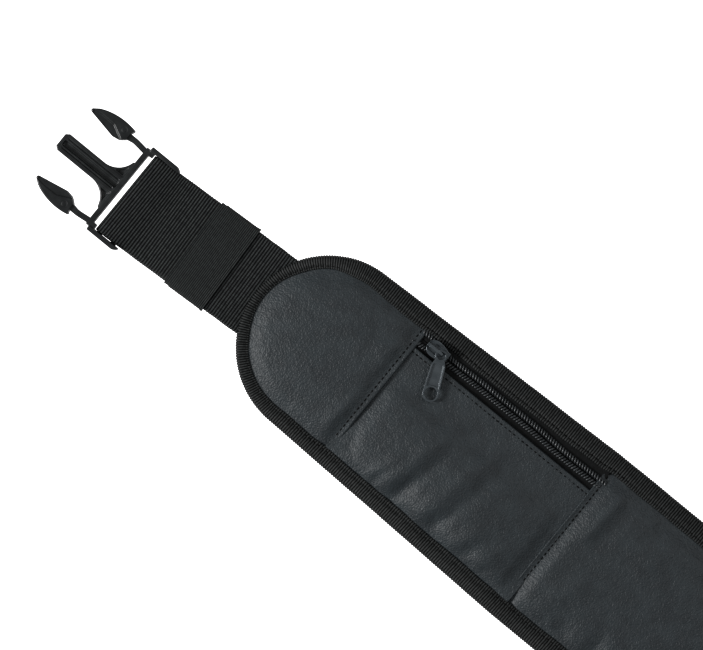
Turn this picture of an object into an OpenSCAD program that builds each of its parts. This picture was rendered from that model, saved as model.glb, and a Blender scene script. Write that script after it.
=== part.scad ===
// Padded weight belt with two zipped pockets, 50 mm webbing straps and a side release buckle.
// It lies flat with its back on z = 0, the buckle's plug towards -X and the zips towards +Y.
// The left half is drawn and the right half is its mirror image, apart from the buckle.

/* [Pad] */
// Length of the padded part from tip to tip
pad_length = 660; // [620:10:720]
// Radius of the rounded tips
tip_radius = 49; // [48:1:50]
// Half the width of the pad at its middle
middle_half_width = 54; // [54:1:58]
// Distance from a tip to the seam where the pocket begins
end_length = 83; // [80:1:90]
// Height of the end and centre panels above the floor
pad_height = 8; // [7.8:0.1:8.2]

/* [Pockets] */
// Length of each pocket from seam to seam
pocket_length = 120; // [115:1:130]
// Height of the filled part of a pocket above the floor
pocket_height = 11; // [10.5:0.5:13]
// Distance of the zip from the centreline
zip_y = 35.3; // [35:0.1:36]
// How far the pull lies turned away from the zip's line, in degrees
pull_turn = 66.3; // [50:1:70]

/* [Binding] */
// Width of the edge binding on each face
binding_lip = 9.5; // [8:0.5:9.5]
// Height of the bound edge
edge_height = 6; // [6:0.5:6.5]

/* [Straps] */
// Width of the webbing
webbing_width = 50; // [48:1:50]
// Thickness of the webbing
webbing_thickness = 1.5; // [1.3:0.1:1.5]
// Distance from a pad tip to the bar that holds the webbing
strap_length = 83; // [78:1:95]
// Angle between the strap and the pad as it lies, in degrees
strap_skew = 2.9; // [2.5:0.1:3.2]
// Length of the elastic keeper along the strap
keeper_length = 24.5; // [20:0.5:26]

/* [Buckle] */
// Length of the plug from the bar to the tip of its tongue
plug_reach = 46.5; // [45:0.5:47]
// Half the width of the tongue
tongue_half_width = 5.2; // [5:0.1:5.4]
// Thickness of the plug's hooks and rails
plug_thickness = 8.2; // [8:0.1:8.4]
// Height of the socket half
socket_height = 12.8; // [12.4:0.1:13.6]

/* [Hidden] */
$fn = 64;
left = -1;
right = 1;
fit_gap = 0.2;          // between sections that fold apart
beyond = 200;           // larger than any half width, for cutting boxes
skin = 1;               // leather, and walls of the cover
edge_wall = 1.2;        // binding round the edge
lip_thickness = 1;      // binding on the faces
cover_edge = edge_height - lip_thickness;   // top of the cover where the binding grips it
crown_inset = binding_lip + 1.2;            // where the padding rises

tip_x = -pad_length / 2;
end_seam_x = tip_x + end_length;
pocket_seam_x = end_seam_x + pocket_length;

backing_top = 2;
foam_top = pad_height - skin;

// pocket, from the floor up
pocket_foam_top = 3;
bag_bottom = 3.2;
bag_wall = 0.4;
deep_y = 8;             // the filled part of the pocket ends here, short of the pull
shallow_height = 7.6;
hem_y = 29.1;
hem_width = 2.6;
bag_inset_y = 37.5;
bag_deep_top = pocket_height - skin - 0.3;
bag_shallow_top = shallow_height - skin - 0.2;
bag_deep_y = deep_y - 1.4;
bag_mouth_y = hem_y - hem_width - 1;
sleeve_margin = 6;
sleeve_wall = 0.8;
sleeve_bottom = 3.8;
sleeve_top = bag_deep_top - 0.6;
sleeve_y = [-36.5, 5.6];
sleeve_corner = 8;

// zip
tape_bottom = 4.4;
tape_top = cover_edge;
tape_gap = 0.7;         // half the gap between the tapes
tape_width = 8.6;       // of the lower tape
coil_gap = 0.45;        // half the gap between the coils
coil_size = [2.75, 2];

// slider, measured from the centre of its round end
slider_x = end_seam_x + 9;
slider_plate = 1.2;
slider_floor = 3.2;
slider_under = 1;
slider_radius = 4.5;
slider_nose = [8.6, 4];
slider_roof = tape_top + coil_size[1] + 0.2;
flange = [9.5, 0.6];
bridge_leg_x = 4.6;
bridge_leg_r = 0.6;
bridge_start = -3;
bridge_foot = 1.2;
slider_post = [[-3.2, -0.8], [-0.35, 0.35]];
bridge_half_width = 0.7;
bridge_underside = slider_roof + 5;
bridge_thickness = 1.1;

// pull, measured along itself from the bridge's leg
pull_bottom = slider_roof + slider_plate + 0.3;
pull_thickness = 1.4;
eye_x = 0.93;
eye_outer_r = 3.2;
eye_hole_r = 2.15;
pull_hole_x = 21.53;
pull_hole_r = 3.4;
pull_end_r = 4.35;
pull_neck = [3.4, 2.6];
pull_shoulder = [6.4, 3.8];
pull_recess_start = [5.9, 2.85];
recess_depth = 0.3;
recess_rim = 0.9;

// strap, in its own frame: origin at the pad tip, -x towards the buckle
strap_y = 0.2;
tab_length = 55;
lower_layer = 0.9;
upper_layer = lower_layer + webbing_thickness + 0.1;
strap_cut = strap_length - 17;      // where the strap bends behind the buckle
keeper_x = -41.5;
keeper_inner = [webbing_width / 2 + 0.1, lower_layer - 0.1, upper_layer + webbing_thickness + 0.1];
keeper_wall = 0.8;

// buckle, in its own frame: origin under the webbing bar, -x towards the tip
buckle_x = tip_x - strap_length;
buckle_y = -4.2;
bar_r = 1.5;
bar_z = plug_thickness / 2;
loop_inner_r = bar_r + 0.06;
loop_outer_r = loop_inner_r + webbing_thickness;
loop_knee_x = 11;
loop_knee_z = 4.5;
loop_flat_x = 14.5;
rear_bar = [[7.5, 10.5], [2.7, 4.3]];
rail_y = [25.3, 27.7];
rail_x = [-6.5, 10];
rail_end_x = 13;
crossbar_x = [-8.7, -5.8];
crossbar_z = [0.9, plug_thickness - 0.9];
tongue_z = [1.2, plug_thickness - 1.2];
tongue_channel = [1.5, 2];          // half width, depth
flare_r = 12.3;
flare_centre = [-21.5, 17.5];
flare_half_width = 15;
flare_z = [1.8, plug_thickness - 1.8];
shoulder = [22.7, -3.6];

// plug arm, for the +Y side
arm_y = [22.7, 25.65];
arm_z = [1.4, plug_thickness - 1.4];
arm_pivot_x = crossbar_x[0] - 1.6;
arm_end_x = -20;
arm_root_x = -16.5;
hook_tip = [-44, 22.7];
hook_corner = [-19, 28.2];
hook_bulge_r = 34;
hook_bulge = [-26.5, 28.95];
hook_tip_r = 1;
hook_nose = [[-41, 25.6], [-36, 28], [-30, 30]];
hook_heel = [[-23, 19.4], [-27, 18.7]];

// socket half
mouth_x = -50;
socket_half_width = 29.6;
socket_wall = 2;
cavity_half_width = 26.8;
cavity_end_x = -9.5;
window_x = [-39.5, -12];
scallop = [-26, 34, 9.5];
guide_y = [5.8, 7.2];
guide_height = 2.4;
socket_corner = 4;

// ---- helpers -------------------------------------------------------------------------------

// The left half's pieces, as they are or mirrored to the right.
module on_side(side) {
    if (side == right) mirror([1, 0, 0]) children();
    else children();
}

// Box between two lowest and highest coordinates on each axis.
module block(x, y, z) {
    translate([x[0], y[0], z[0]]) cube([x[1] - x[0], y[1] - y[0], z[1] - z[0]]);
}

// The same box on both sides of the centreline.
module block_pair(x, y, z) {
    block(x, y, z);
    block(x, [-y[1], -y[0]], z);
}

// Pad outline, taken in from the edge: straight middle, tapering ends and round tips.
module outline(inset) {
    taper_x = pad_length / 2 - tip_radius;
    tip = tip_radius - inset;
    middle = middle_half_width - inset;
    half = [[-taper_x, -tip], [pocket_seam_x, -middle], [-pocket_seam_x, -middle], [taper_x, -tip]];
    other_half = [for (i = [3 : -1 : 0]) [half[i][0], -half[i][1]]];
    polygon(concat(half, other_half));
    for (side = [left, right]) translate([side * taper_x, 0]) circle(r = tip, $fn = 128);
}

// Layer of the pad between two heights.
module layer(inset, z) {
    translate([0, 0, z[0]]) linear_extrude(z[1] - z[0]) outline(inset);
}

// What lies between two cuts across the belt, and between two lines along it.
module between(x, y = [-beyond, beyond]) {
    intersection() {
        children();
        block(x, y, [-1, beyond]);
    }
}

// Bar along the belt with the profile of the children, drawn in y and z.
module along_belt(x) {
    translate([x[0], 0, 0]) rotate([90, 0, 90]) linear_extrude(x[1] - x[0]) children();
}

// Cuts of each section, a little apart so that the sections fold freely.
centre_x = [pocket_seam_x + fit_gap, -pocket_seam_x - fit_gap];
pocket_x = [end_seam_x + fit_gap, pocket_seam_x - fit_gap];
end_x = [tip_x - 1, end_seam_x - fit_gap];

// ---- pad -----------------------------------------------------------------------------------

module cover(x) {
    color("#363b3f") between(x) difference() {
        union() {
            layer(edge_wall, [cover_edge - skin, cover_edge]);
            layer(crown_inset, [cover_edge - skin, pad_height]);
        }
        layer(crown_inset + skin, [0, foam_top]);
    }
}

module foam(x) {
    color("#8d8f90") between(x) {
        layer(edge_wall, [backing_top, cover_edge - skin]);
        layer(crown_inset + skin, [cover_edge - skin, foam_top]);
    }
}

module backing(x) {
    color("#202224") between(x) {
        layer(edge_wall, [lip_thickness, backing_top]);
        layer(binding_lip, [0, backing_top]);
    }
}

module binding(x, y = [-beyond, beyond]) {
    color("#1c1d1e") between(x, y) difference() {
        layer(0, [0, edge_height]);
        layer(edge_wall, [lip_thickness, cover_edge]);
        layer(binding_lip, [-1, edge_height + 1]);
    }
}

module top_binding(x) { binding(x, [0, beyond]); }
module bottom_binding(x) { binding(x, [-beyond, 0]); }

// The webbing's sewn-in end passes through the edge of the pad's end.
module end_foam() {
    difference() {
        foam(end_x);
        tab_space();
    }
}

module end_binding() {
    difference() {
        binding(end_x);
        tab_space();
    }
}

// ---- pocket --------------------------------------------------------------------------------

module pocket_panel() {
    color("#363b3f") between(pocket_x) difference() {
        union() {
            between(pocket_x, [-beyond, 0]) layer(edge_wall, [cover_edge - skin, cover_edge]);
            between(pocket_x, [-beyond, deep_y]) layer(crown_inset, [cover_edge - skin, pocket_height]);
            block(pocket_x, [0, hem_y], [cover_edge, shallow_height]);
        }
        between(pocket_x + [-1, 1], [-beyond, deep_y - skin])
            layer(crown_inset + skin, [0, pocket_height - skin]);
        block(pocket_x + [-1, 1], [0, hem_y - hem_width], [0, shallow_height - skin]);
    }
}

// Thin padding behind the pocket.
module pocket_foam() {
    color("#8d8f90") between(pocket_x) layer(edge_wall, [backing_top, pocket_foam_top]);
}

// Lining bag, open under the zip.
module pocket_bag() {
    x = pocket_x + [1, -1];
    inner = x + [bag_wall, -bag_wall];
    back_y = -bag_inset_y;
    color("#2b2d2f") difference() {
        union() {
            block(x, [back_y, bag_deep_y], [bag_bottom, bag_deep_top]);
            block(x, [back_y, bag_mouth_y], [bag_bottom, bag_shallow_top]);
        }
        block(inner, [back_y + bag_wall, bag_deep_y - bag_wall],
              [bag_bottom + bag_wall, bag_deep_top - bag_wall]);
        block(inner, [back_y + bag_wall, bag_mouth_y + 1],
              [bag_bottom + bag_wall, bag_shallow_top - bag_wall]);
    }
}

// Flat sewn sleeve of the shot, grown or shrunk by a margin.
module sleeve_shape(margin, z) {
    r = sleeve_corner - margin;
    x = pocket_x + [sleeve_margin + margin, -sleeve_margin - margin];
    y = sleeve_y + [margin, -margin];
    block(x, y + [r, -r], z);
    block(x + [r, -r], y, z);
    for (cx = x + [r, -r], cy = y + [r, -r]) translate([cx, cy, z[0]]) cylinder(r = r, h = z[1] - z[0]);
}

module shot_sleeve() {
    color("#3c3f33") difference() {
        sleeve_shape(0, [sleeve_bottom, sleeve_top]);
        sleeve_shape(sleeve_wall, [sleeve_bottom + sleeve_wall, sleeve_top - sleeve_wall]);
    }
}

module lead_shot() {
    color("#6f7276") sleeve_shape(sleeve_wall, [sleeve_bottom + sleeve_wall, sleeve_top - sleeve_wall]);
}

// ---- zip -----------------------------------------------------------------------------------

module lower_zip_tape() {
    color("#141516")
        block(pocket_x, [zip_y - tape_gap - tape_width, zip_y - tape_gap], [tape_bottom, tape_top]);
}

module upper_zip_tape() {
    color("#141516") between(pocket_x, [zip_y + tape_gap, beyond])
        layer(edge_wall, [tape_bottom, tape_top]);
}

module zip_coil(side) {
    r = coil_size[1] / 2;
    reach = coil_size[0] / 2 - r;
    color("#242628") translate([0, zip_y + side * (coil_gap + coil_size[0] / 2), tape_top + r])
        along_belt(pocket_x) {
            square([2 * reach, 2 * r], center = true);
            for (y = [-reach, reach]) translate([y, 0]) circle(r = r);
        }
}

// Round-ended plate of the slider.
module slider_plate_shape(z) {
    translate([0, 0, z[0]]) linear_extrude(z[1] - z[0]) {
        circle(r = slider_radius);
        polygon([[0, -slider_radius], [slider_nose[0], -slider_nose[1]],
                 [slider_nose[0], slider_nose[1]], [0, slider_radius]]);
    }
}

module zip_slider() {
    roof_top = slider_roof + slider_plate;
    flange_y = [slider_nose[1] - flange[1], slider_nose[1]];
    color("#3e4245") translate([slider_x, zip_y, 0]) {
        slider_plate_shape([slider_roof, roof_top]);
        slider_plate_shape([slider_floor, slider_floor + slider_under]);
        block_pair([slider_nose[0] - flange[0], slider_nose[0]], flange_y, [tape_top + 0.2, slider_roof]);
        block(slider_post[0], slider_post[1], [slider_floor, roof_top]);
        block([bridge_start, bridge_start + bridge_foot], [-bridge_half_width, bridge_half_width],
              [roof_top, bridge_underside]);
        block([bridge_start, bridge_leg_x + bridge_leg_r], [-bridge_half_width, bridge_half_width],
              [bridge_underside, bridge_underside + bridge_thickness]);
        translate([bridge_leg_x, 0, slider_roof]) cylinder(r = bridge_leg_r, h = bridge_underside - slider_roof);
    }
}

module zip_pull() {
    recess_x = [pull_recess_start[0], pull_hole_x - pull_hole_r - recess_rim];
    recess_y = [pull_recess_start[1], pull_end_r - recess_rim - 0.1];
    color("#43474a") translate([slider_x + bridge_leg_x, zip_y, pull_bottom]) rotate([0, 0, -pull_turn])
        difference() {
            union() {
                translate([eye_x, 0, 0]) cylinder(r = eye_outer_r, h = pull_thickness);
                translate([pull_hole_x, 0, 0]) cylinder(r = pull_end_r, h = pull_thickness);
                linear_extrude(pull_thickness) polygon([
                    [pull_neck[0], -pull_neck[1]], [pull_shoulder[0], -pull_shoulder[1]],
                    [pull_hole_x, -pull_end_r], [pull_hole_x, pull_end_r], pull_shoulder, pull_neck]);
            }
            translate([eye_x, 0, -1]) cylinder(r = eye_hole_r, h = pull_thickness + 2);
            translate([pull_hole_x, 0, -1]) cylinder(r = pull_hole_r, h = pull_thickness + 2);
            translate([0, 0, pull_thickness - recess_depth]) linear_extrude(1) polygon([
                [recess_x[0], -recess_y[0]], [recess_x[1], -recess_y[1]],
                [recess_x[1], recess_y[1]], [recess_x[0], recess_y[0]]]);
        }
}

// ---- straps --------------------------------------------------------------------------------

module strap_frame() {
    translate([tip_x, strap_y, 0]) rotate([0, 0, strap_skew]) children();
}

module webbing(x, z) {
    block(x, [-webbing_width / 2, webbing_width / 2], [z, z + webbing_thickness]);
}

module tab_space() { strap_frame() webbing([-1, tab_length], upper_layer); }

module webbing_tab() {
    color("#17181a") strap_frame() webbing([fit_gap / 2, tab_length], upper_layer);
}

module webbing_strap() {
    x = [-strap_cut + fit_gap, -fit_gap];
    color("#17181a") strap_frame() {
        webbing(x, upper_layer);
        webbing(x, lower_layer);
    }
}

module elastic_keeper() {
    x = [keeper_x, keeper_x + keeper_length];
    y = keeper_inner[0];
    z = [keeper_inner[1], keeper_inner[2]];
    color("#1b1c1e") strap_frame() difference() {
        block(x, [-y - keeper_wall, y + keeper_wall], z + [-keeper_wall, keeper_wall]);
        block(x + [-1, 1], [-y, y], z);
    }
}

module buckle_frame() {
    translate([buckle_x, buckle_y, 0]) children();
}

// Webbing turned round the bar, seen from the side, and its two layers going back.
module loop_profile() {
    t = webbing_thickness;
    end_x = strap_length;
    difference() {
        translate([0, bar_z]) circle(r = loop_outer_r);
        translate([0, bar_z]) circle(r = loop_inner_r);
        translate([0, -beyond / 2]) square(beyond);
    }
    polygon([
        [0, bar_z + loop_inner_r], [loop_knee_x, loop_knee_z], [loop_flat_x, upper_layer], [end_x, upper_layer],
        [end_x, upper_layer + t], [loop_flat_x + 0.5, upper_layer + t],
        [loop_knee_x + 0.5, loop_knee_z + t], [0, bar_z + loop_outer_r]]);
    polygon([
        [0, bar_z - loop_inner_r], [0, bar_z - loop_outer_r], [loop_flat_x, lower_layer],
        [end_x, lower_layer], [end_x, lower_layer + t], [loop_flat_x, lower_layer + t]]);
}

module webbing_loop() {
    color("#17181a") difference() {
        buckle_frame() translate([0, webbing_width / 2, 0]) rotate([90, 0, 0])
            linear_extrude(webbing_width) loop_profile();
        strap_frame() block([-strap_cut - fit_gap, beyond], [-beyond, beyond], [-1, beyond]);
    }
}

// ---- buckle --------------------------------------------------------------------------------

// Rails and bars that hold the webbing, the same on both halves.
module webbing_frame() {
    rail_corner = rail_end_x - rail_x[1];
    span = [-rail_y[0] - 0.3, rail_y[0] + 0.3];
    for (side = [-1, 1]) translate([0, side * rail_y[0], 0]) linear_extrude(plug_thickness) {
        inner = [rail_x[0], side < 0 ? rail_y[0] - rail_y[1] : 0];
        translate(inner) square([rail_x[1] - rail_x[0], rail_y[1] - rail_y[0]]);
        polygon([[rail_x[1], 0], [rail_end_x, 0], [rail_end_x - 0.6, side * 1.1],
                 [rail_x[1] + rail_corner / 3, side * 2.1], [rail_x[1], side * (rail_y[1] - rail_y[0])]]);
    }
    translate([0, span[1], bar_z]) rotate([90, 0, 0]) cylinder(r = bar_r, h = span[1] - span[0]);
    block(rear_bar[0], span, rear_bar[1]);
}

module plug_frame() {
    tongue = [-tongue_half_width, tongue_half_width];
    channel_x = [-plug_reach + 2, crossbar_x[0]];
    channel_y = [-tongue_channel[0], tongue_channel[0]];
    color("#26292b") buckle_frame() {
        webbing_frame();
        block(crossbar_x, [-arm_y[1], arm_y[1]], crossbar_z);
        block_pair([crossbar_x[0], shoulder[1]], [shoulder[0], rail_y[0] + 0.2], crossbar_z);
        difference() {
            block([-plug_reach, crossbar_x[0] + 0.1], tongue, tongue_z);
            block(channel_x, channel_y, [tongue_z[1] - tongue_channel[1], beyond]);
            block(channel_x, channel_y, [-1, tongue_z[0] + tongue_channel[1]]);
        }
        difference() {
            block_pair([flare_centre[0], crossbar_x[0] + 0.1], [tongue_half_width - 0.1, flare_half_width],
                       flare_z);
            for (side = [-1, 1]) translate([flare_centre[0], side * flare_centre[1], 0])
                cylinder(r = flare_r, h = plug_thickness);
        }
    }
}

// Outline of one hooked arm, root at the pivot.
module arm_outline() {
    middle_y = (arm_y[0] + arm_y[1]) / 2;
    half = (arm_y[1] - arm_y[0]) / 2;
    translate([arm_pivot_x, middle_y]) circle(r = half);
    polygon([[arm_pivot_x, arm_y[0]], [arm_pivot_x, arm_y[1]], [arm_end_x, arm_y[1]],
             [arm_end_x - 2, arm_y[0] - 1], [arm_root_x, arm_y[0]]]);
}

// Outline of the arrow-shaped head: straight inside, bulging outside, undercut at the back.
module hook_outline() {
    bulge_centre = hook_bulge - [0, hook_bulge_r];
    translate([hook_tip[0] + 0.9, hook_tip[1] + 0.1]) circle(r = hook_tip_r);
    intersection() {
        polygon(concat([hook_tip + [0.4, 0.95]], hook_nose,
                       [hook_corner + [0, 3], hook_corner, [arm_end_x, arm_y[1]], [arm_end_x, arm_y[0] - 0.9]],
                       hook_heel, [hook_tip + [0.7, -0.88]]));
        translate(bulge_centre) circle(r = hook_bulge_r, $fn = 256);
    }
}

// One arm with its hook, on the +Y side.
module plug_arm() {
    color("#26292b") {
        translate([0, 0, arm_z[0]]) linear_extrude(arm_z[1] - arm_z[0]) arm_outline();
        linear_extrude(plug_thickness) hook_outline();
    }
}

module plug_upper_arm() { buckle_frame() plug_arm(); }
module plug_lower_arm() { buckle_frame() mirror([0, 1, 0]) plug_arm(); }

module socket_shell() {
    cavity_x = [mouth_x - 1, cavity_end_x];
    corner_x = crossbar_x[1] - socket_corner;
    corner_y = socket_half_width - socket_corner;
    color("#26292b") buckle_frame() {
        webbing_frame();
        block_pair([crossbar_x[1] - 0.1, shoulder[1]], [shoulder[0], rail_y[0] + 0.2], crossbar_z);
        difference() {
            union() {
                block([mouth_x, corner_x], [-socket_half_width, socket_half_width], [0, socket_height]);
                block([mouth_x, crossbar_x[1]], [-corner_y, corner_y], [0, socket_height]);
                for (side = [-1, 1]) translate([corner_x, side * corner_y, 0])
                    cylinder(r = socket_corner, h = socket_height);
            }
            block(cavity_x, [-cavity_half_width, cavity_half_width], [socket_wall, socket_height - socket_wall]);
            block_pair(window_x, [cavity_half_width - 1, beyond], [socket_wall, socket_height - socket_wall]);
            for (side = [-1, 1]) translate([scallop[0], side * scallop[1], -1])
                cylinder(r = scallop[2], h = socket_height + 2);
        }
        guide_x = [mouth_x + 6, cavity_end_x + 0.1];
        guide_root = socket_wall - 0.1;
        guide_tip = socket_wall + guide_height;
        block_pair(guide_x, guide_y, [guide_root, guide_tip]);
        block_pair(guide_x, guide_y, [socket_height - guide_tip, socket_height - guide_root]);
    }
}

// ---- nodes ---------------------------------------------------------------------------------

cover(centre_x);  // centre_cover
foam(centre_x);  // centre_foam
backing(centre_x);  // centre_backing
top_binding(centre_x);  // centre_top_binding
bottom_binding(centre_x);  // centre_bottom_binding
on_side(left) pocket_panel();  // left_pocket_panel
on_side(left) pocket_bag();  // left_pocket_bag
on_side(left) shot_sleeve();  // left_shot_sleeve
on_side(left) lead_shot();  // left_lead_shot
on_side(left) lower_zip_tape();  // left_lower_zip_tape
on_side(left) upper_zip_tape();  // left_upper_zip_tape
on_side(left) zip_coil(-1);  // left_lower_zip_coil
on_side(left) zip_coil(1);  // left_upper_zip_coil
on_side(left) pocket_foam();  // left_pocket_foam
on_side(left) backing(pocket_x);  // left_pocket_backing
on_side(left) top_binding(pocket_x);  // left_pocket_top_binding
on_side(left) bottom_binding(pocket_x);  // left_pocket_bottom_binding
on_side(right) pocket_panel();  // right_pocket_panel
on_side(right) pocket_bag();  // right_pocket_bag
on_side(right) shot_sleeve();  // right_shot_sleeve
on_side(right) lead_shot();  // right_lead_shot
on_side(right) lower_zip_tape();  // right_lower_zip_tape
on_side(right) upper_zip_tape();  // right_upper_zip_tape
on_side(right) zip_coil(-1);  // right_lower_zip_coil
on_side(right) zip_coil(1);  // right_upper_zip_coil
on_side(right) pocket_foam();  // right_pocket_foam
on_side(right) backing(pocket_x);  // right_pocket_backing
on_side(right) top_binding(pocket_x);  // right_pocket_top_binding
on_side(right) bottom_binding(pocket_x);  // right_pocket_bottom_binding
on_side(left) cover(end_x);  // left_end_cover
on_side(left) end_foam();  // left_end_foam
on_side(left) backing(end_x);  // left_end_backing
on_side(left) end_binding();  // left_end_binding
on_side(left) webbing_tab();  // left_webbing_tab
on_side(right) cover(end_x);  // right_end_cover
on_side(right) end_foam();  // right_end_foam
on_side(right) backing(end_x);  // right_end_backing
on_side(right) end_binding();  // right_end_binding
on_side(right) webbing_tab();  // right_webbing_tab
on_side(left) zip_slider();  // left_zip_slider
on_side(left) zip_pull();  // left_zip_pull
on_side(right) zip_slider();  // right_zip_slider
on_side(right) zip_pull();  // right_zip_pull
on_side(left) webbing_strap();  // left_webbing_strap
on_side(right) webbing_strap();  // right_webbing_strap
on_side(left) elastic_keeper();  // left_elastic_keeper
on_side(right) elastic_keeper();  // right_elastic_keeper
on_side(left) webbing_loop();  // left_webbing_loop
on_side(right) webbing_loop();  // right_webbing_loop
on_side(left) plug_frame();
on_side(left) plug_upper_arm();
on_side(left) plug_lower_arm();
on_side(right) socket_shell();
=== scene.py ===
# %% [markdown]
# # A padded weight belt, piece by piece
# This lesson dresses a belt whose bones are already made. The frame gives every moving body,
# every rigid piece and all positions. What is left is the soft work: leather panels over foam,
# a ribbed edge binding, webbing, an elastic keeper, a zip and a moulded buckle.
# Lengths are written in millimetres, as on a pattern, and turned to metres when a mesh is made.

# %% Load the frame
import math

import bmesh
import bpy
import numpy as np
from mathutils import Matrix, Vector, noise


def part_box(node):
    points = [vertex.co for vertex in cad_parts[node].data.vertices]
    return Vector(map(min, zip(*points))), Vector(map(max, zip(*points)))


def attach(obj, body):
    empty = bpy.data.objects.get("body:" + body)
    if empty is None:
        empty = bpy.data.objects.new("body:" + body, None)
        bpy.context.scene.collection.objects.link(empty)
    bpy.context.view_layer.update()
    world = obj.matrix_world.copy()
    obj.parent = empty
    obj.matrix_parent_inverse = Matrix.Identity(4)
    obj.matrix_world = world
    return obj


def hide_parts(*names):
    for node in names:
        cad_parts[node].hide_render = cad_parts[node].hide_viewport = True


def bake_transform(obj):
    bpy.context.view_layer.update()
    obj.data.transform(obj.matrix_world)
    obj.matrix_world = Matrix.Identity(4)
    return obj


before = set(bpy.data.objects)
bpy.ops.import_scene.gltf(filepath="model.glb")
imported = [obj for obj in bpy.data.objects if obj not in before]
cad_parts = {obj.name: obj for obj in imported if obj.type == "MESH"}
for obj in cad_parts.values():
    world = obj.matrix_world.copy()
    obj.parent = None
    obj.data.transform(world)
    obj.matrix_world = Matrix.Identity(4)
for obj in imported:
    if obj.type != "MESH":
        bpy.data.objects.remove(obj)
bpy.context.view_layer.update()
MM = 0.001


# %% [markdown]
# ## Sizes
# A pattern maker starts from a few measures: where the seams are, how wide the pad is, and how
# high each layer lies. Most of them are read from the frame, so that the soft pieces fit it.

# %% Measures
def box_mm(node):
    """A node's lowest and highest corners, in millimetres."""
    low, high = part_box(node)
    return np.array(low) / MM, np.array(high) / MM


SEAM_GAP = 0.2
TIP = -box_mm("left_end_binding")[0][0]
END_SEAM = -box_mm("left_pocket_panel")[0][0] + SEAM_GAP
POCKET_SEAM = -box_mm("left_pocket_panel")[1][0] - SEAM_GAP
POCKET_MIDDLE = (END_SEAM + POCKET_SEAM) / 2
HALF_WIDTH = box_mm("centre_top_binding")[1][1]
TIP_RADIUS = 49
TAPER_START = TIP - TIP_RADIUS
TAPE_TOP = box_mm("left_lower_zip_tape")[1][2]
ZIP_Y = (box_mm("left_lower_zip_coil")[0][1] + box_mm("left_upper_zip_coil")[1][1]) / 2
HEM_Y = box_mm("left_pocket_panel")[1][1]
TONGUE_LENGTH = 46.5
BUCKLE_X = -box_mm("plug_frame")[0][0] - TONGUE_LENGTH
BUCKLE_Y = (box_mm("plug_frame")[0][1] + box_mm("plug_frame")[1][1]) / 2
EDGE_HEIGHT = box_mm("centre_top_binding")[1][2]
STRAP_SKEW = math.radians(2.9)      # the strap leaves the pad leaning a little to one side
STRAP_Y = 0.2
WEBBING_WIDTH = 50.0
SIDES = ("left", "right")
print(f"tip {TIP:.1f}, seams {END_SEAM:.1f} and {POCKET_SEAM:.1f}, zip at {ZIP_Y:.1f}")
print(f"buckle {BUCKLE_X:.1f} mm from the middle")


# %% [markdown]
# ## Meshes from grids
# Nearly every soft piece is a sheet bent in space, and a sheet is a grid of points. These
# helpers turn a grid into faces, mirror a piece to the right half and give it a material.

# %% Mesh helpers
def grid_faces(rows, columns, closed=False, start=0):
    """Quads of a grid of points stored row by row; closed joins the last column to the first."""
    r = np.arange(rows - 1)[:, None]
    c = np.arange(columns if closed else columns - 1)[None, :]
    following = (c + 1) % columns
    quads = np.stack([r * columns + c, (r + 1) * columns + c,
                      (r + 1) * columns + following, r * columns + following], axis=-1)
    return (quads.reshape(-1, 4) + start).tolist()


def fan_caps(rows, columns):
    """Faces that close the two ends of a tube of closed rings."""
    return [list(range(columns)), list(range((rows - 1) * columns, rows * columns))[::-1]]


def make_object(name, points, faces, side="left", smooth=True):
    """A mesh object from points in millimetres, mirrored if it belongs to the right half."""
    points = np.array(points, float).reshape(-1, 3) * MM
    if side == "right":
        points = points * (-1, 1, 1)
        faces = [list(f)[::-1] for f in faces]
    mesh = bpy.data.meshes.new(name)
    mesh.from_pydata(points.tolist(), [], faces)
    mesh.polygons.foreach_set("use_smooth", [smooth] * len(faces))
    mesh.update()
    thing = bpy.data.objects.new(name, mesh)
    bpy.context.scene.collection.objects.link(thing)
    return thing


def point_outwards(thing):
    """Recalculates the normals of a closed mesh so that they all point out."""
    work = bmesh.new()
    work.from_mesh(thing.data)
    bmesh.ops.recalc_face_normals(work, faces=work.faces)
    work.to_mesh(thing.data)
    work.free()


def plain_mesh(thing):
    """Applies every modifier, so that the object is one plain mesh."""
    bpy.context.view_layer.update()
    graph = bpy.context.evaluated_depsgraph_get()
    mesh = bpy.data.meshes.new_from_object(thing.evaluated_get(graph), depsgraph=graph)
    mesh.name = thing.name
    thing.modifiers.clear()
    thing.data = mesh
    return thing


def smooth_step(t):
    t = np.clip(t, 0, 1)
    return t * t * (3 - 2 * t)


def wobble(x, y, scale, seed):
    """Smooth random waves about 1 high, at points in millimetres."""
    x, y = np.broadcast_arrays(np.asarray(x, float), np.asarray(y, float))
    flat = [noise.noise(Vector((a / scale, b / scale, seed * 7.3))) for a, b in zip(x.ravel(), y.ravel())]
    return np.array(flat).reshape(x.shape) * 2


# %% [markdown]
# ## Materials
# Every surface here is dark, so the eye reads it from its shine and its grain. Each material
# starts from the real one: polyurethane leather, nylon webbing, moulded acetal, painted zinc.

# %% Material helpers
def linear(hex_colour):
    """An sRGB hex colour as the linear colour the shader needs."""
    channels = [int(hex_colour[i:i + 2], 16) / 255 for i in (1, 3, 5)]
    return [c / 12.92 if c <= 0.04045 else ((c + 0.055) / 1.055) ** 2.4 for c in channels] + [1.0]


def add_node(tree, kind, settings=None, links=None, **inputs):
    """Adds one node, with its settings, its input values and what is linked into it."""
    made = tree.nodes.new(kind)
    for key, value in (settings or {}).items():
        setattr(made, key, value)
    for key, value in inputs.items():
        made.inputs[key.replace("_", " ")].default_value = value
    for key, source in (links or {}).items():
        tree.links.new(source, made.inputs[key])
    return made


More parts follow.
